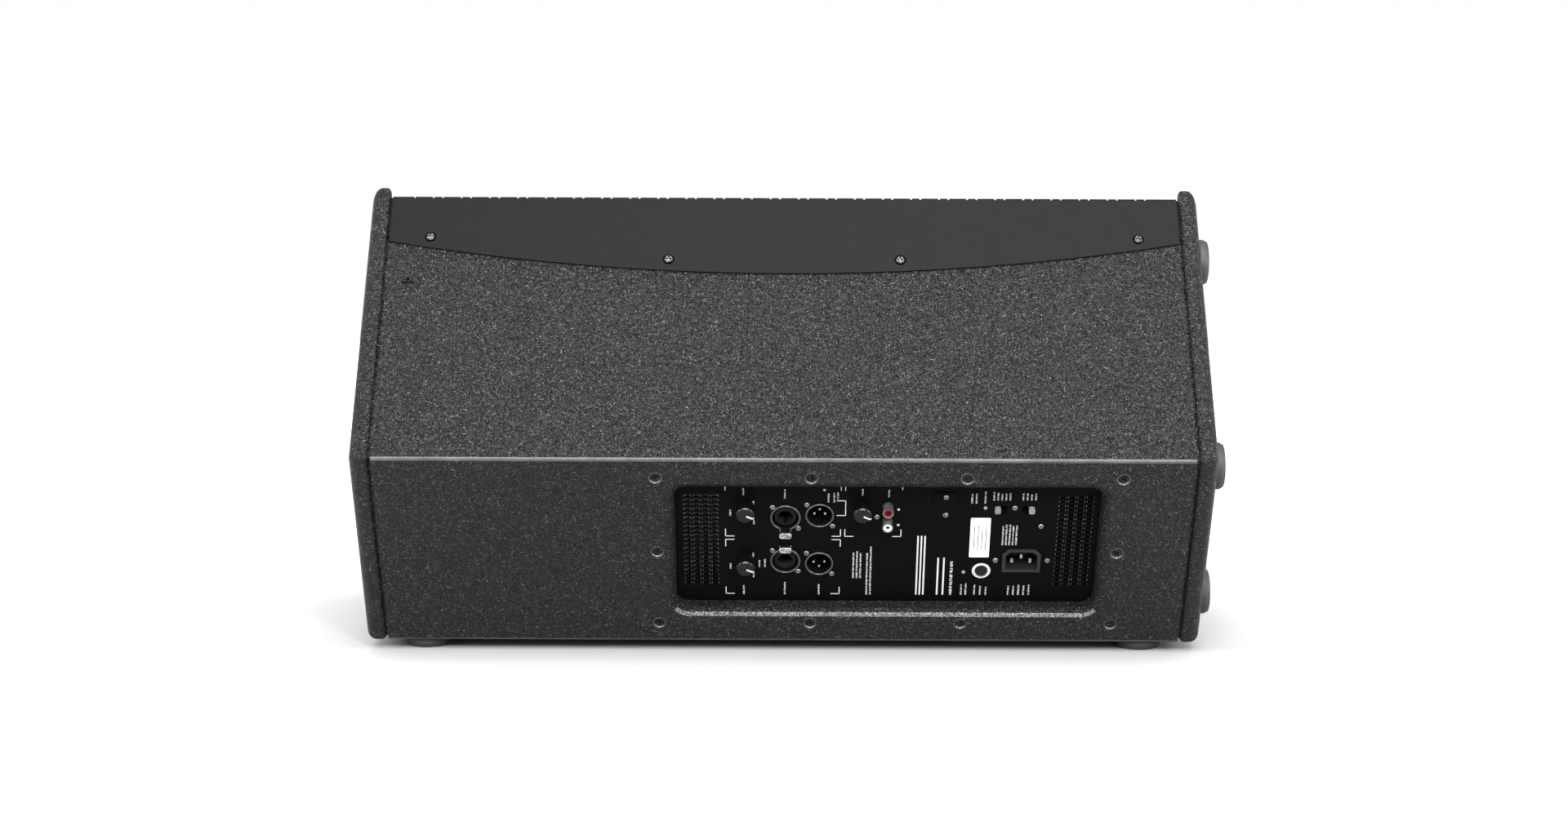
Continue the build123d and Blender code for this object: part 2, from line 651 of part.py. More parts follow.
def make_outputs():
    shells = []
    pins = []
    for right, down, side in OUTPUTS:
        x, z = place(right, down)
        shell = rod(x, z, FACE + 0.8, BACK - 1, 11.0)
        shell = shell + block(x - 12.9, x + 12.9, BOARD_Y, BACK, z - 13, z + 13)
        shell = shell - rod(x, z, FACE + 2, BACK - 13, 9.6)
        for sign in (-1, 1):
            offset = sign * CONNECTOR_SCREW
            shell = shell - rod(x + offset, z + offset, BACK + 1, BACK - 5, 1.3)
        for angle in (0, 180, 90 * side):
            px = x + 4.1 * cos(radians(angle))
            pz = z + 4.1 * sin(radians(angle))
            shell = shell - rod(px, pz, BACK - 12, BACK - 19, 1.2)
            pin = rod(px, pz, BACK - 19, FACE - 1.2, 1.2)
            pins.append(fillet(pin.edges().group_by(Axis.Y)[-1], 0.8))
        shells.append(shell)
    keep("output_sockets", *shells)
    return pins


def make_phono():
    barrels = []
    for name, (right, down) in (("phono_insert_red", PHONO_RED), ("phono_insert_white", PHONO_WHITE)):
        x, z = place(right, down)
        barrels.append(turned(x, z, (3.3, FACE + 9), (4.15, FACE + 9), (4.15, BACK - 2), (3.3, BACK - 2)))
        insert = rod(x, z, BACK - 14, FACE + 8.6, 3.3)
        insert = insert + block(x - 5.5, x + 5.5, BACK - 14, BACK - 2, z - 6.8, z + 6.8)
        keep(name, insert - rod(x, z, FACE + 10, FACE - 4, 1.7))
    keep("phono_barrels", *barrels)


def make_knobs():
    pots = []
    for index, (right, down) in enumerate(KNOBS):
        x, z = place(right, down)
        knob = rod(x, z, FACE + 0.5, FACE + 12.5, 7.0)
        knob = chamfer(knob.edges().group_by(Axis.Y)[-1], 0.9)
        for step in range(18):
            angle = radians(20 * step)
            knob = knob - rod(x + 7.35 * cos(angle), z + 7.35 * sin(angle), FACE + 0.4, FACE + 10.5, 0.8)
        knob = knob - rod(x, z, FACE, FACE + 3.2, 5.2) - rod(x, z, FACE, FACE + 9, 3.0)
        shaft = rod(x, z, BACK - 14, FACE + 9, 3.0)
        keep(f"gain_knob_{index + 1}", knob, shaft)
        pot = block(x - 6, x + 6, BOARD_Y, BACK - 4, z - 6, z + 6) + rod(x, z, BACK - 5, FACE + 2.6, 3.6)
        pots.append(pot - rod(x, z, BACK - 14.4, FACE + 3, 3.0 + RUNNING))
    keep("gain_pots", *pots)


def make_switches():
    bodies = []
    for index, (right, down, side) in enumerate(SLIDERS):
        x, z = place(right, down)
        body = block(x - 9.2, x + 9.2, BACK - 9, BACK, z - 6.5, z + 6.5)
        wide = SLIDER_SIZE[0] / 2 + SLIDER_TRAVEL / 2 + FREE
        tall = SLIDER_SIZE[1] / 2 + FREE
        bodies.append(body - block(x - wide, x + wide, BACK - 6.5, BACK + 1, z - tall, z + tall))
        middle = x - side * SLIDER_TRAVEL / 2
        tip = plate(RectangleRounded(*SLIDER_SIZE, 1.5), middle, z, BACK - 6, FACE + 2.2)
        for rib in (-0.9, 0.9):
            tip = tip - block(middle + rib - 0.35, middle + rib + 0.35, FACE + 1.4, FACE + 3, z - 3, z + 3)
        keep(("slide_switch_left", "slide_switch_right")[index], tip)
    x, z = place(*POWER_BUTTON)
    body = block(x - 6.8, x + 6.8, BACK - 22, BACK, z - 6.8, z + 6.8)
    bodies.append(body - rod(x, z, BACK + 1, BACK - 12, 4.5 + FREE))
    keep("switch_bodies", *bodies)
    button = rod(x, z, BACK - 8, FACE + 1.6, 4.5)
    button = fillet(button.edges().group_by(Axis.Y)[-1], 0.6)
    keep("power_button", button - Pos(x, FACE + 1.6 + 17.2, z) * Sphere(18))


def make_inlet():
    x, z = place(*INLET)
    body = plate(inlet_outline(29.6, 21.6, 4.6), x, z, FACE, FACE + 1.4)
    body = body + plate(inlet_outline(27.8, 19.8, 4.2), x, z, BACK - 22, FACE + 0.5)
    ears = block(x - 23, x + 23, BACK - 2.5, BACK, z - 11.5, z + 11.5)
    for side in (-1, 1):
        ears = ears - rod(x + side * INLET_SCREW, z, BACK - 3, BACK + 1, 1.3)
    body = body + ears - plate(inlet_outline(24.4, 16.4, 3.4), x, z, BACK - 14.5, FACE + 3)
    pins = []
    for across, up in ((-7, -2), (0, 2), (7, -2)):
        slot = block(x + across - 1, x + across + 1, BACK - 20, FACE - 2, z + up - 2, z + up + 2)
        body = body - slot
        pins.append(slot)
    keep("mains_inlet", body)
    return pins


def make_panel_trim():
    x, z = place(*BLANKING)
    cover = plate(blanking_outline(), x, z, FACE, FACE + 1)
    for right, down in BLANKING_SCREWS:
        sx, sz = place(right, down)
        cover = cover - rod(sx, sz, FACE - 1, FACE + 2, 1.3)
    keep("blanking_plate", cover)
    lights = []
    for spot in (SIGNAL_LIGHT, POWER_LIGHT):
        x, z = place(*spot)
        lens = rod(x, z, BACK - 5, FACE + 0.8, 1.5)
        lights.append(fillet(lens.edges().group_by(Axis.Y)[-1], 0.7))
    keep("status_lights", *lights)
    x, z = place(*LABEL)
    keep("rating_label", plate(RectangleRounded(15.2, 37.3, 0.8), x, z, FACE, FACE + 0.15))


# ---- feet, pole socket, handle, rigging points --------------------------------------------------------
def foot():
    """A rubber foot standing on z = 0, with a counterbore for its screw."""
    outline = Polyline(
        (4.6, 0), (FOOT_RADIUS - 1, 0), (FOOT_RADIUS, 1), (FOOT_RADIUS, 5), (FOOT_RADIUS - 1.5, FOOT_HEIGHT),
        (4.6, FOOT_HEIGHT), close=True,
    )
    body = revolve(Plane.XZ * make_face(outline), axis=Axis.Z)
    seat = Pos(0, 0, 1.5) * (Cylinder(5, 3) - Cylinder(2.1, 3))
    return body + seat


def make_feet():
    feet = []
    screws = []
    for x in (-SIDE_FOOT_X, SIDE_FOOT_X):
        for along in SIDE_FEET:
            feet.append(on_side(-1, x, along) * foot())
            screws.append(on_side(-1, x, along, 3) * pan_screw(4.2, 2.4, 1.95, 15))
    for y, z in end_foot_places():
        feet.append(facing_end(-1, -HALF, y, z) * foot())
        screws.append(facing_end(-1, -HALF - 3, y, z) * pan_screw(4.2, 2.4, 1.95, 15))
    keep("rubber_feet", *feet)
    return screws


def make_pole_cup():
    spot = facing_end(-1, -HALF, POLE_Y, 0)
    cup = Pos(0, 0, -POLE_DEPTH / 2 - 2) * Cylinder(POLE_RADIUS + 4, POLE_DEPTH + 4)
    cup = cup + Pos(0, 0, -1.5) * Cylinder(40, 3)
    cup = cup - Pos(0, 0, -POLE_DEPTH / 2) * Cylinder(POLE_RADIUS, POLE_DEPTH)
    cup = spot * cup
    screws = []
    for y, z in pole_screw_places():
        cup = cup - facing_end(-1, -HALF, y, z) * Cylinder(1.7, 8)
        cup = cup - facing_end(-1, -HALF, y, z) * Pos(0, 0, -0.9) * Cone(1.7, 3.6, 2.0)
        screws.append(facing_end(-1, -HALF, y, z) * flat_screw(3.3, 1.8, 1.5, 12, 1.2))
    keep("pole_cup", cup)
    return screws


def make_handle():
    depth = 60.0
    wall = 3.0
    spot = facing_end(1, HALF, HANDLE_Y, 0)
    dish = extrude(RectangleRounded(2 * HANDLE_HALF_Y, 2 * HANDLE_HALF_Z, 13.7), amount=-depth)
    flange = extrude(RectangleRounded(2 * HANDLE_HALF_Y + 20, 2 * HANDLE_HALF_Z + 20, 15.7), amount=-wall)
    inside = RectangleRounded(2 * (HANDLE_HALF_Y - wall), 2 * (HANDLE_HALF_Z - wall), 10.7)
    cup = spot * (dish + flange - extrude(inside, amount=-depth + wall))
    screws = []
    for y, z in handle_screw_places():
        cup = cup - facing_end(1, HALF, y, z) * Cylinder(1.7, 8)
        cup = cup - facing_end(1, HALF, y, z) * Pos(0, 0, -0.9) * Cone(1.7, 3.6, 2.0)
        screws.append(facing_end(1, HALF, y, z) * flat_screw(3.3, 1.8, 1.5, 12, 1.2))
    keep("handle_cup", cup)
    grip = spot * Pos(0, 0, -11.5) * Rot(90, 0, 0) * Cylinder(10.5, 2 * (HANDLE_HALF_Z - wall))
    keep("handle_bar", grip)
    return screws


def make_rigging():
    screws = []
    x, along = RIGGING
    for sign in (-1, 1):
        screw = Pos(0, 0, -2.25) * Cone(4.2, 8.9, 4.5) + Pos(0, 0, -11) * Cylinder(4.0, 22)
        screw = screw - cross(9.0, 2.6)
        screws.append(on_side(sign, x, along) * screw)
    keep("rigging_screws", *screws)
    nuts = []
    for sign in (-1, 1):
        nut = Pos(0, 0, -16.5) * Cylinder(12, 3) + Pos(0, 0, -11) * Cylinder(5.4, 8)
        nuts.append(on_side(sign, x, along) * (nut - Pos(0, 0, -12) * Cylinder(4.0, 20)))
    keep("rigging_nuts", *nuts)


def lead(radius, *points):
    """A lead that follows straight runs joined by arcs."""
    corners = [Vector(*p) for p in points]
    bends = []
    for before, here, after in zip(corners, corners[1:], corners[2:]):
        turn = radians((here - before).get_angle(after - here))
        run = min((here - before).length, (after - here).length)
        bends.append(0.45 * run / tan(turn / 2))
    path = FilletPolyline(*points, radius=bends)
    start = Plane(path @ 0, z_dir=path % 0)
    return sweep(start * Circle(radius), path=path)


def make_leads():
    start = CHASSIS_Y
    woofer_run = lead(
        2.5, (10, start, -30), (10, start - 16, -30), (-12, start - 34, -34), (-42, start - 48, -36),
        (-70.5, start - 52, -28),
    )
    horn_run = lead(
        2.5, (60, start, 20), (60, start - 14, 20), (74, start - 32, 18), (100, start - 22, 8),
        (116, BAFFLE_Y + 112, 0), (134.8, BAFFLE_Y + 112, 0),
    )
    keep("speaker_leads", woofer_run, horn_run)


def write_parts():
    os.makedirs("parts", exist_ok=True)
    for name, solids in parts.items():
        shape = solids[0] if len(solids) == 1 else Compound(children=solids)
        export_step(shape, f"parts/{name}.step")
    print(len(parts), "sub-parts written")


make_cabinet()
make_end_plates()
make_baffle()
make_grille()
make_woofer()
make_baffle_screws()
make_horn()
make_ports()
make_amp_panel()
make_chassis()
make_inputs()
make_phono()
make_knobs()
make_switches()
keep("connector_pins", *make_outputs(), *make_inlet())
make_panel_trim()
keep("fixing_screws", *make_feet(), *make_pole_cup(), *make_handle())
make_rigging()
make_leads()
write_parts()
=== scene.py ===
import json
import random
from math import cos, pi, radians, sin, sqrt

import bmesh
import bpy
from mathutils import Matrix, Vector


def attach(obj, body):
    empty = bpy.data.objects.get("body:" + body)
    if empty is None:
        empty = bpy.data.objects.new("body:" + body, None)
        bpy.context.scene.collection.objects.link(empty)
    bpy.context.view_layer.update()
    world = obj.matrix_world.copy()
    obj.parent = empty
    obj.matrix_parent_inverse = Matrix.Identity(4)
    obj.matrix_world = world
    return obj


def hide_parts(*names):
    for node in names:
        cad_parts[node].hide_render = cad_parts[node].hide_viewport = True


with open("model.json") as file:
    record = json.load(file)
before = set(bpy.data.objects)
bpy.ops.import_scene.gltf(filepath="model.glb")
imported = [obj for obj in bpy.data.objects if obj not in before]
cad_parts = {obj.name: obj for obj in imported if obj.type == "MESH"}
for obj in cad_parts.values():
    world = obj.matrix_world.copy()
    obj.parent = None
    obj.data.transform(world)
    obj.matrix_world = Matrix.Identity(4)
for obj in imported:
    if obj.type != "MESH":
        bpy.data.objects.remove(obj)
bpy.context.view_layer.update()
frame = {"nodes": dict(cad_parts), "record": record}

random.seed(12)

# ---- the cabinet's own frame: x along it, y out of the rear face, z up the rear face ------------------
MM = 0.001
TAPER = radians(27)
REAR_WIDTH = 172.0
SIDE_DEPTH = 242.0
FOOT_HEIGHT = 8.0
END_SHIFT = 4.0
BODY_HALF = 310.0
PANEL_FACE = -16.0
GRILLE_FACE = -SIDE_DEPTH * cos(TAPER) + 6.2
GRILLE_SHEET = 1.5
LIFT = FOOT_HEIGHT + REAR_WIDTH / 2 * cos(TAPER)
CABINET = (Matrix.Translation(Vector((END_SHIFT, SIDE_DEPTH / 2, LIFT)) * MM)
           @ Matrix.Rotation(-TAPER, 4, "X") @ Matrix.Scale(MM, 4))


def half_width(y, inset=0.0):
    """Half of the trapezoid section at a depth."""
    return (REAR_WIDTH / 2 * cos(TAPER) - inset - y * sin(TAPER)) / cos(TAPER)


def panel_point(right, down, out=0.0):
    """A place on the amplifier's panel: right of the middle, down from the upper rear edge, and out of it."""
    return Vector((-right, PANEL_FACE + out, REAR_WIDTH / 2 - down))


# ---- camera, lights and floor -------------------------------------------------------------------------
LENS = 58.5
SENSOR = 36.0
CAMERA_PLACE = (END_SHIFT * MM + 0.0008, 2.036, 0.426)
CAMERA_DOWN = 7.07             # degrees below level
CAMERA_ROLL = -0.22            # degrees
LOOK_AT = (0, 0, 0.2)          # every light points here
LIGHTS = [                     # name, place, size and watts
    ("overhead", (-0.2, 0.9, 2.3), (2.2, 1.0), 84),
    ("behind_camera", (0.0, 3.1, 1.7), (3.0, 0.8), 165),
    ("glints", (-0.5, 2.6, 2.0), (0.15, 0.15), 30),
    ("front", (0.6, -2.6, 1.7), (1.8, 1.0), 70),
    ("side_-1", (-2.4, 1.3, 1.1), (0.8, 1.6), 75),
    ("side_1", (2.4, 1.3, 1.1), (0.8, 1.6), 75),
]
FLOOR_RADIUS = 2.6
FLOOR_DROP = 0.0005            # how far the floor lies under the feet
FLOOR_SHADES = (0.33, 0.8)     # near the object and far from it
FLOOR_FADE = (0.3, 1.7)        # the distances between which the shade changes


def make_camera():
    data = bpy.data.cameras.new("camera")
    data.lens = LENS
    data.sensor_width = SENSOR
    camera = bpy.data.objects.new("camera", data)
    camera.location = CAMERA_PLACE
    camera.rotation_euler = (radians(90 - CAMERA_DOWN), radians(CAMERA_ROLL), pi)
    bpy.context.scene.collection.objects.link(camera)
    bpy.context.scene.camera = camera


def make_lights():
    for name, place, size, power in LIGHTS:
        data = bpy.data.lights.new(name, "AREA")
        data.shape = "RECTANGLE"
        data.size, data.size_y = size
        data.energy = power
        light = bpy.data.objects.new(name, data)
        light.location = place
        light.rotation_euler = (Vector(LOOK_AT) - Vector(place)).to_track_quat("-Z", "Y").to_euler()
        bpy.context.scene.collection.objects.link(light)


def make_world():
    world = bpy.data.worlds.new("studio")
    world.use_nodes = True
    background = world.node_tree.nodes["Background"]
    background.inputs["Color"].default_value = (1.0, 1.0, 1.0, 1.0)
    background.inputs["Strength"].default_value = 1.0
    bpy.context.scene.world = world
    bpy.context.scene.view_settings.view_transform = "Standard"


def make_floor():
    """A pale floor, a little darker where the lights are strongest, so that it looks evenly white."""
    bpy.ops.mesh.primitive_circle_add(
        vertices=96, radius=FLOOR_RADIUS, fill_type="NGON", location=(0, 0, -FLOOR_DROP))
    floor = bpy.context.object
    floor.name = "floor"
    mat, tree, shader = new_material("floor_pale")
    length = tree.nodes.new("ShaderNodeVectorMath")
    length.operation = "LENGTH"
    tree.links.new(object_coordinates(tree), length.inputs[0])
    near, far = FLOOR_SHADES
    distance = spread(tree, length.outputs["Value"], 0.0, 1.0, *FLOOR_FADE)
    shade = ramp(tree, distance, (0.0, (near, near, near)), (1.0, (far, far, far)))
    tree.links.new(shade, shader.inputs["Base Color"])
    shader.inputs["Roughness"].default_value = 0.9
    shader.inputs["Specular IOR Level"].default_value = 0.1
    floor.data.materials.append(mat)


# ---- material building blocks -------------------------------------------------------------------------
def new_material(name):
    mat = bpy.data.materials.new(name)
    mat.use_nodes = True
    return mat, mat.node_tree, mat.node_tree.nodes["Principled BSDF"]


def object_coordinates(tree):
    node = tree.nodes.get("coordinates")
    if node is None:
        node = tree.nodes.new("ShaderNodeTexCoord")
        node.name = "coordinates"
    return node.outputs["Object"]


def noise(tree, scale, detail=2.0, roughness=0.5, stretch=None):
    coordinates = object_coordinates(tree)
    if stretch:
        mapping = tree.nodes.new("ShaderNodeMapping")
        mapping.inputs["Scale"].default_value = stretch
        tree.links.new(coordinates, mapping.inputs["Vector"])
        coordinates = mapping.outputs["Vector"]
    node = tree.nodes.new("ShaderNodeTexNoise")
    node.inputs["Scale"].default_value = scale
    node.inputs["Detail"].default_value = detail
    node.inputs["Roughness"].default_value = roughness
    tree.links.new(coordinates, node.inputs["Vector"])
    return node.outputs["Fac"]


def cells(tree, scale):
    node = tree.nodes.new("ShaderNodeTexVoronoi")
    node.inputs["Scale"].default_value = scale
    tree.links.new(object_coordinates(tree), node.inputs["Vector"])
    return node.outputs["Distance"]


def ramp(tree, value, *stops):
    """A colour ramp from (position, colour) stops."""
    node = tree.nodes.new("ShaderNodeValToRGB")
    while len(node.color_ramp.elements) < len(stops):
        node.color_ramp.elements.new(0.5)
    for element, (position, colour) in zip(node.color_ramp.elements, stops):
        element.position = position
        element.color = (*colour, 1.0)
    tree.links.new(value, node.inputs["Fac"])
    return node.outputs["Color"]


def spread(tree, value, low, high, start=0.3, stop=0.7):
    """Maps a texture to a range of numbers."""
    node = tree.nodes.new("ShaderNodeMapRange")
    node.inputs["From Min"].default_value = start
    node.inputs["From Max"].default_value = stop
    node.inputs["To Min"].default_value = low
    node.inputs["To Max"].default_value = high
    tree.links.new(value, node.inputs["Value"])
    return node.outputs["Result"]


def mix(tree, kind, a, b):
    """Adds or multiplies; b is a socket or a number."""
    node = tree.nodes.new("ShaderNodeMath")
    node.operation = kind
    tree.links.new(a, node.inputs[0])
    if isinstance(b, (int, float)):
        node.inputs[1].default_value = b
    else:
        tree.links.new(b, node.inputs[1])
    return node.outputs[0]


def bump(tree, shader, height, strength, distance):
    node = tree.nodes.new("ShaderNodeBump")
    node.inputs["Strength"].default_value = strength
    node.inputs["Distance"].default_value = distance
    tree.links.new(height, node.inputs["Height"])
    before = shader.inputs["Normal"]
    if before.is_linked:
        tree.links.new(before.links[0].from_socket, node.inputs["Normal"])
    tree.links.new(node.outputs["Normal"], before)


def scaled(colour, factor):
    return tuple(channel * factor for channel in colour)


def finish_material(
        name, colour, rough, metal=0.0, grain=600.0, vary=0.12, depth=0.00005, specular=0.5, coat=0.0):
    """A surface with small changes of colour and roughness, and a fine bump."""
    mat, tree, shader = new_material(name)
    wide = noise(tree, grain / 14, 3.0)
    fine = noise(tree, grain, 3.0, 0.6)
    shade = ramp(tree, wide, (0.3, scaled(colour, 1 - vary)), (0.7, scaled(colour, 1 + vary)))
    tree.links.new(shade, shader.inputs["Base Color"])
    tree.links.new(spread(tree, fine, rough * 0.85, min(1.0, rough * 1.15)), shader.inputs["Roughness"])
    shader.inputs["Metallic"].default_value = metal
    shader.inputs["Specular IOR Level"].default_value = specular
    shader.inputs["Coat Weight"].default_value = coat
    bump(tree, shader, fine, 0.35, depth)
    return mat


def structure_paint(name, shades, gloss):
    """Coarse sprayed paint: uneven grains under a millimetre across; its shades go from the plain paint to
    painted glints.
    """
    mat, tree, shader = new_material(name)
    grains = cells(tree, 800.0)
    lumps = noise(tree, 460.0, 3.0, 0.7)
    fine = noise(tree, 1600.0, 2.0, 0.6)
    specks = cells(tree, 880.0)
    patches = noise(tree, 330.0, 3.0, 0.8)
    rounded = spread(tree, grains, 1.0, 0.0, 0.0, 0.6)
    tops = mix(tree, "MULTIPLY", rounded, spread(tree, lumps, 0.1, 1.0, 0.4, 0.6))
    relief = mix(tree, "ADD", tops, mix(tree, "MULTIPLY", fine, 0.3))
    # Painted glints: lighter specks in patches, standing in for grains that catch the light.
    painted_glints = spread(tree, specks, 1.0, 0.0, 0.05, 0.55)
    painted_glints = mix(tree, "MULTIPLY", painted_glints, spread(tree, patches, 0.15, 1.0, 0.4, 0.62))
    stops = [(place, (shade, shade, shade)) for place, shade in zip((0.0, 0.3, 0.65, 1.0), shades)]
    shade = ramp(tree, painted_glints, *stops)
    tree.links.new(shade, shader.inputs["Base Color"])
    tree.links.new(spread(tree, fine, 0.4, 0.24), shader.inputs["Roughness"])
    shader.inputs["Specular IOR Level"].default_value = gloss
    bump(tree, shader, relief, 1.0, 0.0013)
    return mat


def foam_material():
    mat, tree, shader = new_material("foam")
    pores = cells(tree, 900.0)
    shade = ramp(tree, pores, (0.1, (0.002, 0.002, 0.002)), (0.6, (0.018, 0.018, 0.019)))
    tree.links.new(shade, shader.inputs["Base Color"])
    shader.inputs["Roughness"].default_value = 0.95
    shader.inputs["Specular IOR Level"].default_value = 0.2
    bump(tree, shader, pores, 0.9, 0.0008)
    return mat


def brushed_metal(name, colour, rough, stretch=(1, 1, 1), tarnish=0.85, spots=60.0):
    """Metal with fine turning or brushing marks; tarnish is how dark its duller spots are."""
    mat, tree, shader = new_material(name)
    lines = noise(tree, 700.0, 3.0, 0.6, stretch)
    smudge = noise(tree, spots, 3.0)
    shade = ramp(tree, smudge, (0.38, scaled(colour, tarnish)), (0.62, colour))
    tree.links.new(shade, shader.inputs["Base Color"])
    tree.links.new(spread(tree, lines, rough * 0.7, rough * 1.3), shader.inputs["Roughness"])
    shader.inputs["Metallic"].default_value = 1.0
    bump(tree, shader, lines, 0.25, 0.00003)
    return mat


def cone_paper():
    mat, tree, shader = new_material("paper_cone")
    fibres = noise(tree, 500.0, 5.0, 0.7, (1, 3, 1))
    shade = ramp(tree, fibres, (0.3, (0.01, 0.01, 0.011)), (0.7, (0.03, 0.03, 0.032)))
    tree.links.new(shade, shader.inputs["Base Color"])
    shader.inputs["Roughness"].default_value = 0.85
    bump(tree, shader, fibres, 0.6, 0.0004)
    return mat


def treated_cloth():
    mat, tree, shader = new_material("treated_cloth")
    wave = tree.nodes.new("ShaderNodeTexWave")
    wave.inputs["Scale"].default_value = 320.0
    wave.inputs["Distortion"].default_value = 1.0
    tree.links.new(object_coordinates(tree), wave.inputs["Vector"])
    shade = ramp(tree, wave.outputs["Fac"], (0.2, (0.012, 0.011, 0.01)), (0.8, (0.04, 0.036, 0.03)))
    tree.links.new(shade, shader.inputs["Base Color"])
    shader.inputs["Roughness"].default_value = 0.8
    shader.inputs["Sheen Weight"].default_value = 0.2
    bump(tree, shader, wave.outputs["Fac"], 0.5, 0.0003)
    return mat


# Plain finishes: colour, roughness, and what differs from finish_material's usual values.
FINISHES = {
    "grille_paint": (
        (0.0036, 0.0036, 0.0037), 0.45, dict(grain=900.0, vary=0.05, depth=0.00004, specular=0.06)),
    "rubber": ((0.014, 0.014, 0.0145), 0.62, dict(grain=700.0, depth=0.0001)),
    "black_plastic": ((0.003, 0.003, 0.0031), 0.4, dict(grain=1100.0, specular=0.12)),
    "gloss_plastic": ((0.003, 0.003, 0.0032), 0.2, dict(grain=300.0, depth=0.00001, specular=0.25)),
    "panel_paint": ((0.0014, 0.0014, 0.0015), 0.5, dict(grain=1400.0, specular=0.04)),
    "print_white": ((0.42, 0.42, 0.422), 0.6, dict(grain=900.0, vary=0.05)),
    "label_paper": ((0.84, 0.84, 0.83), 0.55, dict(grain=500.0, vary=0.03)),
    "label_ink": ((0.1, 0.1, 0.1), 0.6, dict(grain=900.0, vary=0.1)),
    "socket_rim": ((0.02, 0.02, 0.0205), 0.26, dict(grain=900.0, specular=0.7)),
    "inlet_rim": ((0.009, 0.009, 0.0092), 0.4, dict(grain=1100.0, specular=0.3)),
    "dull_nickel": ((0.13, 0.13, 0.127), 0.25, dict(metal=0.6, grain=1400.0, vary=0.8)),
    "edge_paint": ((0.02, 0.02, 0.0202), 0.4, dict(grain=900.0, vary=0.6, depth=0.0012, specular=0.6)),
    "knob_plastic": ((0.002, 0.002, 0.0021), 0.26, dict(grain=900.0, depth=0.00004, specular=0.28)),
    "gloss_paint": ((0.008, 0.008, 0.008), 0.3, dict(grain=900.0, depth=0.0004, specular=0.9)),
    "red_plastic": ((0.1, 0.0004, 0.004), 0.3, dict(grain=500.0, depth=0.00002, specular=0.15)),
    "white_plastic": ((0.78, 0.78, 0.77), 0.3, dict(grain=500.0, depth=0.00002)),
    "grey_plastic": ((0.17, 0.17, 0.168), 0.3, dict(grain=900.0, vary=0.25)),
    "lens": ((0.16, 0.165, 0.16), 0.12, dict(grain=200.0, depth=0.00001, coat=0.6)),
    "magnet": ((0.03, 0.03, 0.032), 0.5, dict(metal=0.3, grain=500.0)),
    "circuit_board": ((0.01, 0.07, 0.03), 0.35, dict(grain=400.0, vary=0.2)),
    "handle_rubber": ((0.012, 0.012, 0.0125), 0.7, dict(grain=500.0, depth=0.0002)),
}
METALS = {
    "black_screw": ((0.06, 0.06, 0.062), 0.13, dict(tarnish=0.2, spots=620.0)),
    "bright_steel": ((0.3, 0.3, 0.31), 0.28, dict(tarnish=0.4, spots=620.0)),
    "nickel": ((0.6, 0.6, 0.58), 0.24, dict(stretch=(1, 4, 1), tarnish=0.2, spots=620.0)),
    "aluminium": ((0.5, 0.5, 0.52), 0.4, dict(stretch=(1, 1, 3))),
    "steel": ((0.16, 0.16, 0.165), 0.42, dict(stretch=(4, 1, 1))),
}
# The nodes that look different from the finish of their slot.
OWN_LOOKS = {
    "input_sockets": "black_plastic", "output_sockets": "black_plastic", "phono_barrels": "dull_nickel",
    "gain_knob_1": "knob_plastic", "gain_knob_2": "knob_plastic", "gain_knob_3": "knob_plastic",
}


def make_materials():
    looks = {
        # The lightest of these shades are painted glints on the paint's grains.
        "structure_paint": structure_paint("structure_paint", (0.0025, 0.012, 0.08, 0.34), 0.16),
        # Much lighter shades and full gloss for the window's lip: a painted highlight, partly real
        # reflection.
        "lip_painted_highlight": structure_paint("lip_painted_highlight", (0.03, 0.07, 0.22, 0.6), 1.0),
        "foam": foam_material(),
        "paper_cone": cone_paper(),
        "cloth": treated_cloth(),
    }
    for name, (colour, rough, details) in FINISHES.items():
        looks[name] = finish_material(name, colour, rough, **details)
    for name, (colour, rough, details) in METALS.items():
        looks[name] = brushed_metal(name, colour, rough, **details)
    return looks


def dress_cad_nodes(looks):
    """Every CAD node gets the finish of its slot, or its own."""
    for part in frame["record"]["subparts"]:
        node = frame["nodes"][part["node"]]
        look = looks[OWN_LOOKS.get(part["node"], part["material_slot"])]
        if not node.material_slots:
            node.data.materials.append(look)
        for holder in node.material_slots:
            holder.material = look


# ---- mesh building blocks -----------------------------------------------------------------------------
def piece(name, mesh_data, look, body="root", smooth=False):
    """Turns a mesh drawn in the cabinet's frame into a piece of the object."""
    mesh = bpy.data.meshes.new(name)
    if isinstance(mesh_data, bmesh.types.BMesh):
        mesh_data.to_mesh(mesh)
        mesh_data.free()
    else:
        mesh.from_pydata(*mesh_data)
    mesh.transform(CABINET)
    mesh.update()
    if smooth:
        mesh.shade_smooth()
    obj = bpy.data.objects.new(name, mesh)
    mesh.materials.append(look)
    bpy.context.scene.collection.objects.link(obj)
    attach(obj, body)
    return obj


def add_bar(bm, low, high, bevel=0.0):
    """A box between two corners."""
    low, high = Vector(low), Vector(high)
    made = bmesh.ops.create_cube(bm, size=1.0)["verts"]
    middle = (low + high) / 2
    size = high - low
    for vert in made:
        vert.co = Vector((vert.co.x * size.x, vert.co.y * size.y, vert.co.z * size.z)) + middle
    if bevel:
        edges = {edge for vert in made for edge in vert.link_edges}
        bmesh.ops.bevel(bm, geom=list(edges), offset=bevel, segments=2, affect="EDGES", profile=0.5)


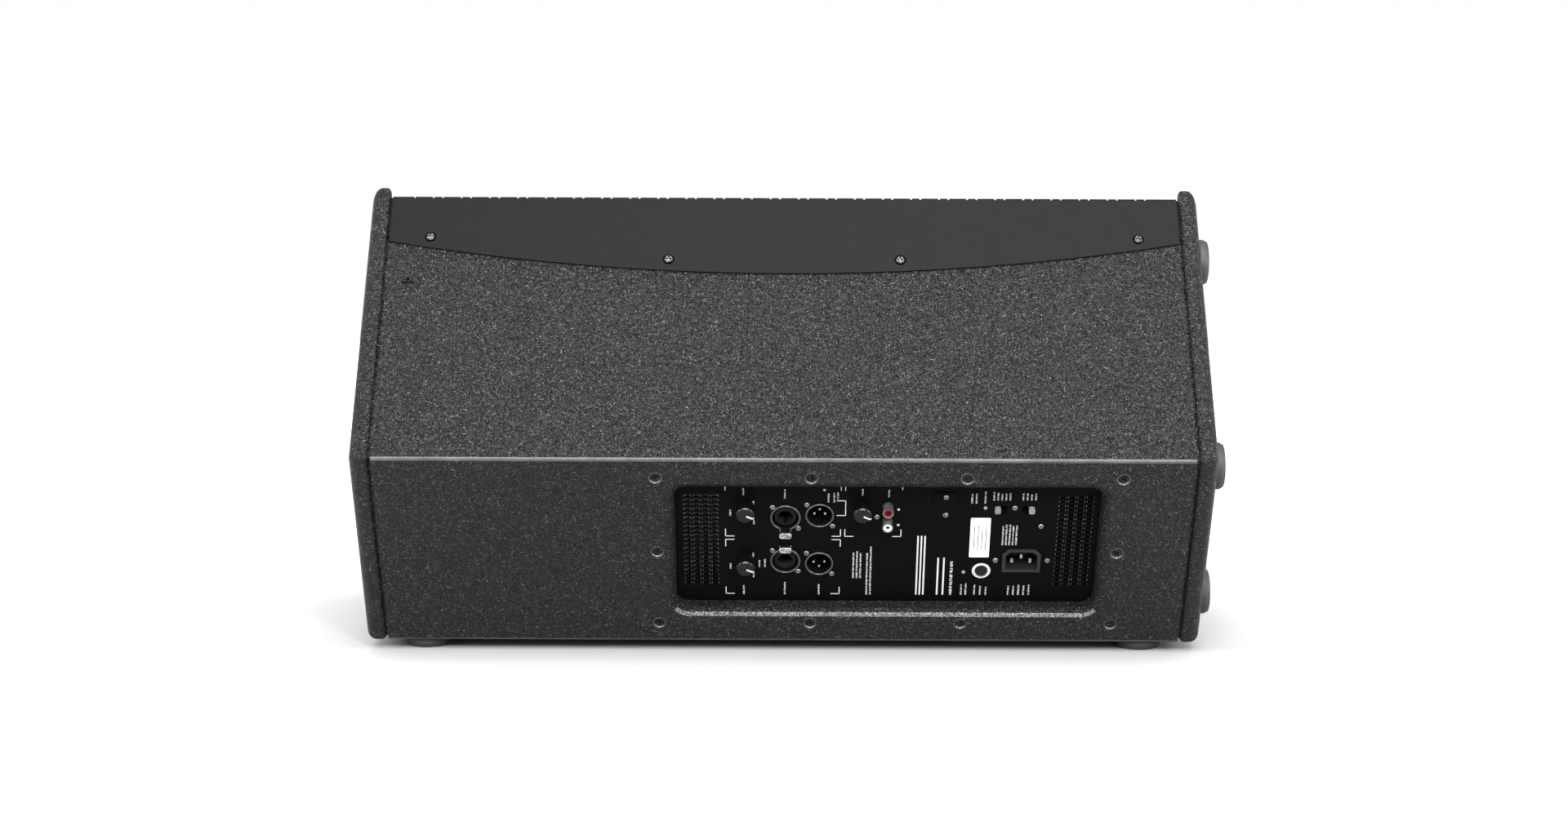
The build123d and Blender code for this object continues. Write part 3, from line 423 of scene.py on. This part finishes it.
def add_skin(bm, loops, closed=False, caps=False):
    """Faces between loops of vertices; closed joins the last loop to the first, and caps fill both ends."""
    made = []
    pairs = list(zip(loops, loops[1:]))
    if closed:
        pairs.append((loops[-1], loops[0]))
    for first, second in pairs:
        for step in range(len(first)):
            after = (step + 1) % len(first)
            corners = []
            for vert in (first[step], first[after], second[after], second[step]):
                if vert not in corners:
                    corners.append(vert)
            made.append(bm.faces.new(corners))
    if caps:
        made += [bm.faces.new(loops[0]), bm.faces.new(loops[-1][::-1])]
    bmesh.ops.recalc_face_normals(bm, faces=made)


def add_lathe(bm, centre, outline, closed=False, sides=40):
    """A turned shape on an axis out of the panel, from (radius, height) points; closed is for rings."""
    loops = []
    for radius, height in outline:
        if radius:
            loops.append([
                bm.verts.new(centre + Vector((radius * cos(angle), height, radius * sin(angle))))
                for angle in turn(sides)])
        else:
            loops.append([bm.verts.new(centre + Vector((0, height, 0)))] * sides)
    add_skin(bm, loops, closed=closed)


def add_tube(bm, path, radius, closed=False, sides=10):
    """A round bead along a path that lies parallel to the panel."""
    loops = []
    outward = Vector((0, 1, 0))
    for step, here in enumerate(path):
        before = path[step - 1] if step or closed else here
        after = path[(step + 1) % len(path)] if step < len(path) - 1 or closed else here
        across = (after - before).normalized().cross(outward).normalized()
        loops.append([
            bm.verts.new(here + radius * (cos(angle) * across + sin(angle) * outward))
            for angle in turn(sides)])
    add_skin(bm, loops, closed=closed, caps=not closed)


def turn(sides):
    """The angles of a circle's corners."""
    return [2 * pi * step / sides for step in range(sides)]


def band(outer, inner, start, stop, steps):
    """(radius, angle) pairs round the outline of a thin curved band."""
    angles = [start + (stop - start) * step / steps for step in range(steps + 1)]
    return [(outer, angle) for angle in angles] + [(inner, angle) for angle in reversed(angles)]


# ---- perforated grille --------------------------------------------------------------------------------
HOLE_PITCH = 7.37
ROW_PITCH = 6.4             # at most; the rows are spaced evenly between the folds
HOLE_ACROSS = 5.7
FOLD_SLOT = (1.6, 4.8)      # the holes of the row on each fold, across it and along it
BEND_RADIUS = 2.5
PLAIN_MARGIN = 0.6          # from the last row to the part of the flange that comes from the CAD mesh
FLANGE_START = 2.2          # the CAD mesh is cut this far behind the grille's face
WELD = 0.0005
GRILLE_HALF = BODY_HALF - 2.0
# The strips in the gaps at the grille's ends are painted shade.
GAP_SHADE_REACH = 34.0           # how far each dark strip runs on along the flanges
GAP_SHADE_DEPTHS = (1.1, 1.45)   # of the dark strips' two faces, in from the grille's face
GAP_SHADE_CLEAR = 0.05


def make_grille(look, gap_shade_look):
    """A sheet with hexagonal holes, folded over both sides; its flanges end in a long curve."""
    bend_turn = pi / 2 + TAPER
    corner = half_width(GRILLE_FACE, -GRILLE_SHEET)
    reach = BEND_RADIUS / cos(bend_turn / 2) * sin(bend_turn / 2)
    flat_half = corner - reach
    bend = BEND_RADIUS * bend_turn
    fold_middle = flat_half + bend / 2
    rows = 2 * round(fold_middle / ROW_PITCH)
    row_pitch = 2 * fold_middle / rows
    perforated_end = fold_middle + row_pitch / 2
    plain_end = perforated_end + PLAIN_MARGIN
    columns = int(2 * GRILLE_HALF / HOLE_PITCH) - 1

    def folded(u, v, inside):
        """The place of a point of the flat sheet once the sheet is folded."""
        side = 1 if v >= 0 else -1
        along = abs(v)
        bent = min(max((along - flat_half) / BEND_RADIUS, 0.0), bend_turn)
        radius = BEND_RADIUS - inside
        y = GRILLE_FACE + BEND_RADIUS - radius * cos(bent)
        z = min(along, flat_half) + radius * sin(bent)
        past = max(along - flat_half - bend, 0.0)
        y += past * sin(bend_turn)
        z += past * cos(bend_turn)
        return u, y, side * z

    verts = []
    faces = []
    index = {}

    def point(u, v, inside):
        key = (round(u, 3), round(v, 3), inside)
        if key not in index:
            index[key] = len(verts)
            verts.append(folded(u, v, inside))
        return index[key]

    def add_face(corners, inside):
        ids = [point(u, v, inside) for u, v in corners]
        faces.append(ids[::-1] if inside else ids)

    def add_wall(a, b):
        faces.append([point(*a, 0.0), point(*b, 0.0), point(*b, GRILLE_SHEET), point(*a, GRILLE_SHEET)])

    def add_cell(u, v, left, right):
        """One cell of the sheet with its hole."""
        bottom, top = v - row_pitch / 2, v + row_pitch / 2
        rim = [(left, bottom), (u, bottom), (right, bottom), (right, top), (u, top), (left, top)]
        angles = [radians(angle) for angle in (210, 270, 330, 30, 90, 150)]
        size = HOLE_ACROSS / sqrt(3)
        ring = [(u + size * cos(angle), v + size * sin(angle)) for angle in angles]
        for inside in (0.0, GRILLE_SHEET):
            for step in range(6):
                after = (step + 1) % 6
                add_face([rim[step], rim[after], ring[after], ring[step]], inside)
        for step in range(6):
            add_wall(ring[(step + 1) % 6], ring[step])

    def add_fold_cell(u, v, left, right, hole):
        """One cell of a row that lies on a fold, with or without its slot."""
        across, along = FOLD_SLOT[0] / 2, FOLD_SLOT[1] / 2
        stops = [left, u - across, u + across, right] if hole else [left, right]
        levels = [v - row_pitch / 2] + [v + along * step / 3 for step in range(-3, 4)] + [v + row_pitch / 2]
        for place, (a, b) in enumerate(zip(stops, stops[1:])):
            for step, (low, high) in enumerate(zip(levels, levels[1:])):
                if hole and place == 1 and 0 < step < 7:
                    continue
                for inside in (0.0, GRILLE_SHEET):
                    add_face([(a, low), (b, low), (b, high), (a, high)], inside)
        if hole:
            rim = [(u + across, level) for level in levels[1:-1]]
            rim += [(u - across, level) for level in levels[-2:0:-1]]
            for here, after in zip(rim, rim[1:] + rim[:1]):
                add_wall(after, here)

    first = -(columns - 1) / 2 * HOLE_PITCH
    edge_left, edge_right = -GRILLE_HALF, GRILLE_HALF
    for row in range(rows + 1):
        v = -fold_middle + row * row_pitch
        shift = HOLE_PITCH / 2 if row % 2 else 0.0
        count = columns - 1 if row % 2 else columns
        for column in range(count):
            u = first + shift + column * HOLE_PITCH
            left = edge_left if column == 0 and row % 2 == 0 else u - HOLE_PITCH / 2
            right = edge_right if column == count - 1 and row % 2 == 0 else u + HOLE_PITCH / 2
            if row in (0, rows):
                add_fold_cell(u, v, left, right, column % 3 != 1 and 0 < column < columns - 1)
            else:
                add_cell(u, v, left, right)
        if row % 2:
            low, high = v - row_pitch / 2, v + row_pitch / 2
            inner_left = first + shift - HOLE_PITCH / 2
            inner_right = first + shift + (count - 0.5) * HOLE_PITCH
            for a, b in ((edge_left, inner_left), (inner_right, edge_right)):
                for inside in (0.0, GRILLE_SHEET):
                    add_face([(a, low), (b, low), (b, high), (a, high)], inside)
        for u, sign in ((edge_left, 1), (edge_right, -1)):
            add_wall((u, v + sign * row_pitch / 2), (u, v - sign * row_pitch / 2))

    for side in (-1, 1):
        end = side * perforated_end
        stops = [edge_left] + [first + (step - 0.5) * HOLE_PITCH for step in range(1, columns)] + [edge_right]
        stops = sorted(set(stops + [first + step * HOLE_PITCH for step in range(columns)]))
        levels = [end + side * (plain_end - perforated_end) * step / 5 for step in range(6)]
        for a, b in zip(stops, stops[1:]):
            for near, far in zip(levels, levels[1:]):
                corners = [(a, near), (b, near), (b, far), (a, far)]
                for inside in (0.0, GRILLE_SHEET):
                    add_face(corners[::side], inside)
            add_wall(*((a, levels[-1]), (b, levels[-1]))[::-side])
        for near, far in zip(levels, levels[1:]):
            for u, sign in ((edge_left, -side), (edge_right, side)):
                add_wall(*((u, near), (u, far))[::sign])
    make_gap_shade_strips(folded, plain_end, gap_shade_look)
    bm = bmesh.new()
    mesh = bpy.data.meshes.new("perforated_sheet")
    mesh.from_pydata(verts, [], faces)
    bm.from_mesh(mesh)
    bpy.data.meshes.remove(mesh)
    for side in (-1, 1):
        add_flange(bm, side, Vector(folded(0.0, side * plain_end, 0.0)), bend_turn)
    grille = piece("perforated_grille", bm, look)
    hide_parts("grille")


def make_gap_shade_strips(folded, plain_end, look):
    """Very dark strips in the gaps between the grille's ends and the end plates: painted shade for the shadow
    in the gaps.
    """
    reach = plain_end + GAP_SHADE_REACH
    places = [-reach] + [step * plain_end / 60 for step in range(-60, 61)] + [reach]
    near, far = GRILLE_HALF + GAP_SHADE_CLEAR, BODY_HALF - GAP_SHADE_CLEAR
    upper, lower = GAP_SHADE_DEPTHS
    for side, name in ((-1, "bottom"), (1, "top")):
        bm = bmesh.new()
        loops = []
        for v in places:
            outline = ((near, upper), (far, upper), (far, lower), (near, lower))
            loops.append([bm.verts.new(folded(side * u, v, inside)) for u, inside in outline])
        add_skin(bm, loops, caps=True)
        piece(f"grille_gap_shade_{name}", bm, look)


def add_flange(bm, side, start, bend_turn):
    """The solid part of one flange, with its curved edge and screw dimples, cut from the CAD grille."""
    cut = bmesh.new()
    cut.from_mesh(frame["nodes"]["grille"].data)
    bmesh.ops.transform(cut, matrix=CABINET.inverted(), verts=cut.verts)
    bmesh.ops.remove_doubles(cut, verts=cut.verts, dist=WELD)
    trim(cut, (0, GRILLE_FACE + FLANGE_START, 0), (0, 1, 0))
    bmesh.ops.delete(cut, geom=[vert for vert in cut.verts if side * vert.co.z < 0], context="VERTS")
    trim(cut, start, (0, sin(bend_turn), side * cos(bend_turn)))
    for end in (-1, 1):
        trim(cut, (end * GRILLE_HALF, 0, 0), (-end, 0, 0))
    for face in cut.faces:
        face.smooth = False
    flange = bpy.data.meshes.new("flange")
    cut.to_mesh(flange)
    cut.free()
    bm.from_mesh(flange)
    bpy.data.meshes.remove(flange)


def trim(bm, place, keep_towards):
    """Cuts a closed mesh with a plane, keeps one side of it and closes the cut."""
    whole = bm.verts[:] + bm.edges[:] + bm.faces[:]
    cut = bmesh.ops.bisect_plane(
        bm, geom=whole, dist=0.00001, plane_co=place, plane_no=keep_towards, clear_inner=True)
    edges = [item for item in cut["geom_cut"] if isinstance(item, bmesh.types.BMEdge)]
    bmesh.ops.holes_fill(bm, edges=edges)


# ---- places on the rear: to the right of the middle, and down from the upper rear edge ----------------
KNOBS = {"knob_input_upper": (-29.0, 54.3), "knob_input_lower": (-29.0, 105.2), "knob_aux": (60.0, 54.3)}
INPUTS = {"upper": (1.5, 64.4, -1), "lower": (1.5, 105.6, 1)}     # with the side that the latch tab is on
OUTPUTS = [(27.6, 62.1), (27.6, 108.1)]
PHONOS = [(79.4, 54.0), (79.4, 67.8)]
BUTTON = (153.1, 114.8)
LABEL = (150.7, 83.0)
VENTS = [-62.9, 222.6]
MODULE_SCREWS = [(right, REAR_WIDTH / 2 + 69.0 * row) for right in (-96.1, 20.8, 137.6, 254.3)
                 for row in (1, 0, -1) if row or right in (-96.1, 254.3)]
WINDOW = (323.0, 116.0)
WINDOW_RIGHT = 79.0
WINDOW_CORNER = 10.0
WINDOW_LIP = 8.0

# ---- print on the amplifier's panel -------------------------------------------------------------------
PRINT_THICK = 0.06
LINE = 0.65
ARM = 6.4
TICK = 4.0

# Blocks of small captions, read from below: place of the first line, its lower end, length of a line,
# number of lines, and their pitch.
CAPTIONS = [
    (-30.5, 43.5, 7.0, 1, 2.4), (1.0, 46.5, 9.0, 1, 2.4), (34.2, 50.0, 10.5, 2, 4.3),
    (41.3, 47.0, 8.0, 1, 2.4), (60.0, 43.5, 7.0, 1, 2.4), (80.0, 45.0, 8.0, 1, 2.4),
    (-22.9, 53.3, 6.0, 1, 2.4), (-40.5, 62.8, 6.0, 1, 2.4), (-22.6, 70.9, 5.0, 1, 2.4),
    (-23.2, 103.8, 6.0, 1, 2.4), (-40.7, 113.6, 6.0, 1, 2.4), (-22.9, 122.0, 5.0, 1, 2.4),
    (-18.4, 112.0, 9.0, 2, 4.2), (-30.6, 138.5, 11.0, 1, 2.4), (1.2, 138.5, 13.0, 1, 2.4),
    (27.6, 138.5, 11.5, 1, 2.4), (54.0, 122.5, 29.5, 3, 2.8), (64.6, 138.5, 49.0, 2, 2.8),
    (143.2, 50.5, 11.0, 2, 3.4), (153.3, 50.5, 12.5, 1, 2.4), (159.8, 47.6, 8.5, 5, 3.1),
    (182.0, 47.4, 7.5, 4, 3.2), (168.2, 90.0, 21.5, 5, 2.6), (138.2, 138.4, 12.0, 2, 3.6),
    (148.6, 138.4, 10.0, 3, 4.4), (174.8, 138.4, 11.0, 5, 4.0),
]
# Corners of the frames round the input groups: place, and the way that each arm points.
CORNERS = [
    (-44.3, 82.2, 1, -1), (-44.3, 85.4, 1, 1), (-44.4, 137.9, 1, -1), (43.7, 82.2, -1, -1),
    (43.7, 85.4, -1, 1), (43.5, 137.9, -1, -1), (47.0, 82.2, 1, -1), (90.0, 82.2, -1, -1),
    (47.3, 62.4, -1, -1), (47.3, 48.6, -1, 1),
]
TICKS = [(-44.3, 37.2), (43.7, 37.2), (47.0, 37.2), (90.2, 36.4)]
# Plain bars and dots: place, width and height.
BARS = [
    (103.3, 110.0, 1.2, 57.0), (106.0, 110.0, 1.2, 57.0), (108.7, 110.0, 1.2, 57.0),
    (119.5, 120.5, 1.3, 36.0), (124.0, 120.5, 1.3, 36.0),
    (87.7, 56.6, 1.8, 1.6), (87.7, 71.2, 1.8, 1.6), (31.0, 38.6, 1.8, 1.6),
]
TALL_CAPTION = (130.0, 138.5, 34.0, 2.2)
BUTTON_RING = (5.0, 7.2)     # inner and outer radius
LABEL_TOP = 0.15             # the label's face above the panel
RULE = 0.8
RULE_THICK = 0.04


def add_print(bm, right, down, width, height):
    """A thin printed bar on the panel, by its middle."""
    middle = panel_point(right, down)
    low = (middle.x - width / 2, middle.y, middle.z - height / 2)
    high = (middle.x + width / 2, middle.y + PRINT_THICK, middle.z + height / 2)
    add_bar(bm, low, high)


def add_caption(bm, right, low_end, length, width=1.35):
    """One line of meaningless small print: strokes of no alphabet, in groups like words."""
    stroke = width * 0.27
    done = 0.0
    while done < length - width * 0.6:
        for _ in range(random.randint(2, 6)):
            deep = width * random.uniform(0.5, 0.68)
            if done + deep > length:
                break
            near, far = low_end - done, low_end - done - deep
            add_print(bm, right, near - stroke / 2, width * random.uniform(0.75, 1.0), stroke)
            across = random.choice((-0.36, 0.0, 0.36))
            add_print(bm, right + across * width, (near + far) / 2, stroke, deep)
            if random.random() < 0.5:
                add_print(bm, right, far + stroke / 2, width * random.uniform(0.5, 1.0), stroke)
            done += deep + width * 0.2
        done += width * 0.35


def make_print(look):
    bm = bmesh.new()
    for right, low_end, length, lines, pitch in CAPTIONS:
        for line in range(lines):
            add_caption(bm, right + line * pitch, low_end, length * random.uniform(0.82, 1.0))
    for right, down, across, along in CORNERS:
        add_print(bm, right + across * ARM / 2, down, ARM + LINE, LINE)
        add_print(bm, right, down + along * ARM / 2, LINE, ARM + LINE)
    for right, down in TICKS:
        add_print(bm, right, down, LINE, TICK)
    for bar in BARS:
        add_print(bm, *bar)
    add_caption(bm, *TALL_CAPTION)
    inner, outer = BUTTON_RING
    outline = [(inner, 0.0), (inner, PRINT_THICK), (outer, PRINT_THICK), (outer, 0.0)]
    add_lathe(bm, panel_point(*BUTTON), outline, closed=True, sides=64)
    piece("panel_print", bm, look)


def make_label_lines(look):
    """Plain grey rules on the blank rating label."""
    bm = bmesh.new()
    middle = panel_point(*LABEL, LABEL_TOP)
    for line in range(4):
        x = middle.x - 4.6 + line * 3.0
        length = 24.0 - 3.0 * (line % 2)
        low = (x - RULE / 2, middle.y, middle.z - length / 2)
        add_bar(bm, low, (x + RULE / 2, middle.y + RULE_THICK, middle.z + length / 2))
    piece("label_lines", bm, look)


# ---- small fittings on the panel ----------------------------------------------------------------------
VENT_PITCH = (7.0, 4.16)
VENT_COLUMNS = 4
VENT_ROWS = 21
VENT_SLOT = 4.5
# The bright dots at the ends of the vent slots are painted glints.
GLINT_DOT = (0.34, 0.4, 0.75)     # half sizes
GLINT_DOT_OFFSET = 0.3            # from the end of a slot
GLINT_DOT_SUNK = 0.05
KNOB_TOP = 12.5
POINTER_ANGLE = radians(-24)
# The two bars of a pointer, across the knob's top and down its side: low and high (radius, height, width).
POINTER_BARS = [
    ((0.8, KNOB_TOP - 0.5, -0.65), (6.3, KNOB_TOP + 0.12, 0.65)),
    ((6.0, KNOB_TOP - 6.5, -0.65), (7.1, KNOB_TOP - 0.35, 0.65)),
]
POINTER_BEVEL = 0.08
OUTPUT_RING = (10.3, 0.8, 0.7)     # radius, radius of the bead, height of its middle
INPUT_RIM = (11.0, 0.85, 0.6)
RIM_GAP = radians(24)
RIM_NECK = (4.05, 12.6, 14.6)      # half its width, and where its straight ends start and stop
PHONO_CONTACT = [(0.0, 7.6), (1.66, 7.6), (1.66, 0.0), (0.0, 0.0)]
COUNTERSINK = [(3.5, -1.3), (4.66, -0.02), (5.1, 0.07), (5.3, 0.0), (4.9, -0.4), (3.6, -1.7)]


def make_vent_glint_dots(look):
    """Small bright steel domes at both ends of each vent slot: painted glints, standing in for the slot edges
    catching the light.
    """
    bm = bmesh.new()
    for middle in VENTS:
        for column in range(VENT_COLUMNS):
            slot = middle + VENT_PITCH[0] * (column - (VENT_COLUMNS - 1) / 2)
            for row in range(VENT_ROWS):
                down = REAR_WIDTH / 2 + VENT_PITCH[1] * (row - (VENT_ROWS - 1) / 2)
                for end in (-1, 1):
                    place = panel_point(slot + end * (VENT_SLOT / 2 + GLINT_DOT_OFFSET), down, -GLINT_DOT_SUNK)
                    matrix = Matrix.Translation(place) @ Matrix.Diagonal((*GLINT_DOT, 1.0))
                    bmesh.ops.create_icosphere(bm, subdivisions=1, radius=1.0, matrix=matrix)
    piece("vent_glint_dots", bm, look, smooth=True)


def make_pointers(look):
    """A white line inlaid across each knob's top and down its side."""
    for body, (right, down) in KNOBS.items():
        bm = bmesh.new()
        centre = panel_point(right, down)
        for low, high in POINTER_BARS:
            add_bar(bm, low, high, POINTER_BEVEL)
        spin = Matrix.Rotation(pi + POINTER_ANGLE, 4, "Y")
        bmesh.ops.transform(bm, matrix=Matrix.Translation(centre) @ spin, verts=bm.verts)
        piece(f"pointer_{body}", bm, look, body)


def make_socket_rims(look):
    """The raised keyhole-shaped rim of each input socket, which runs on to its latch tab."""
    radius, bead, height = INPUT_RIM
    half, start, stop = RIM_NECK
    steps = 56
    for name, (right, down, side) in INPUTS.items():
        bm = bmesh.new()
        path = [Vector((half, 0, side * stop)), Vector((half, 0, side * start))]
        for step in range(steps + 1):
            angle = pi / 2 - RIM_GAP - (2 * pi - 2 * RIM_GAP) * step / steps
            path.append(Vector((radius * cos(angle), 0, side * radius * sin(angle))))
        path += [Vector((-half, 0, side * start)), Vector((-half, 0, side * stop))]
        centre = panel_point(right, down, height)
        add_tube(bm, [centre + spot for spot in path], bead)
        piece(f"input_rim_{name}", bm, look, smooth=True)


def make_socket_fittings(looks):
    """Face rings of the output sockets, and contacts inside the phono sockets."""
    radius, bead, height = OUTPUT_RING
    bm = bmesh.new()
    for right, down in OUTPUTS:
        centre = panel_point(right, down, height)
        path = [centre + Vector((radius * cos(angle), 0, radius * sin(angle))) for angle in turn(56)]
        add_tube(bm, path, bead, closed=True)
    piece("output_rings", bm, looks["socket_rim"], smooth=True)
    bm = bmesh.new()
    for right, down in PHONOS:
        add_lathe(bm, panel_point(right, down), PHONO_CONTACT)
    piece("phono_contacts", bm, looks["black_plastic"])


# ---- painted edges of the rear panel ------------------------------------------------------------------
EDGE_ROUND = 3.0
EDGE_END = 2.3                      # the painted edges stop this far short of the end plates
# The part of the lip's rounding that carries the painted highlight.
LIP_ARC = (radians(40), radians(64))


def make_countersink_linings(look):
    """Glossy paint in the countersinks round the module's screws."""
    bm = bmesh.new()
    for right, down in MODULE_SCREWS:
        add_lathe(bm, panel_point(right, down, -PANEL_FACE), COUNTERSINK, closed=True)
    piece("countersink_linings", bm, look, smooth=True)


def make_edge_paint(look):
    """The smoother and glossier paint on the two rounded rear edges."""
    centre_y = -EDGE_ROUND
    centre_z = half_width(centre_y, EDGE_ROUND)
    outline = band(EDGE_ROUND + 0.04, EDGE_ROUND - 0.3, 0.0, pi / 2 - TAPER, 12)
    for side, name in ((1, "upper"), (-1, "lower")):
        bm = bmesh.new()
        add_skin(bm, [
            [bm.verts.new((x, centre_y + radius * cos(angle), side * (centre_z + radius * sin(angle))))
             for radius, angle in outline]
            for x in (-BODY_HALF + EDGE_END, BODY_HALF - EDGE_END)], caps=True)
        piece(f"edge_paint_{name}", bm, look)


def make_lip_painted_highlight(look):
    """A painted highlight: a much lighter, glossy strip of paint along the lower lip of the panel's window
    and round its two corners.
    """
    outline = band(WINDOW_LIP + 0.05, WINDOW_LIP - 0.4, *LIP_ARC, 10)
    bm = bmesh.new()
    loops = []
    for across, start in ((-1, 215), (1, 270)):
        x = across * (WINDOW[0] / 2 - WINDOW_CORNER) - WINDOW_RIGHT
        corner = Vector((x, -WINDOW_LIP, WINDOW_CORNER - WINDOW[1] / 2))
        for step in range(9):
            heading = radians(start + 55 * step / 8)
            outward = Vector((cos(heading), 0, sin(heading)))
            loops.append([
                bm.verts.new(corner + (WINDOW_CORNER + WINDOW_LIP - radius * cos(angle)) * outward
                             + Vector((0, radius * sin(angle), 0)))
                for radius, angle in outline])
    add_skin(bm, loops, caps=True)
    piece("lip_painted_highlight", bm, look)


make_camera()
make_lights()
make_world()
make_floor()
looks = make_materials()
dress_cad_nodes(looks)
# The very dark panel paint also makes the painted shade in the grille's end gaps.
make_grille(looks["grille_paint"], looks["panel_paint"])
make_print(looks["print_white"])
# Painted glints at the ends of the vent slots.
make_vent_glint_dots(looks["bright_steel"])
make_label_lines(looks["label_ink"])
make_pointers(looks["print_white"])
make_socket_rims(looks["socket_rim"])
make_socket_fittings(looks)
make_countersink_linings(looks["gloss_paint"])
make_edge_paint(looks["edge_paint"])
# The window's lower lip gets a painted highlight.
make_lip_painted_highlight(looks["lip_painted_highlight"])
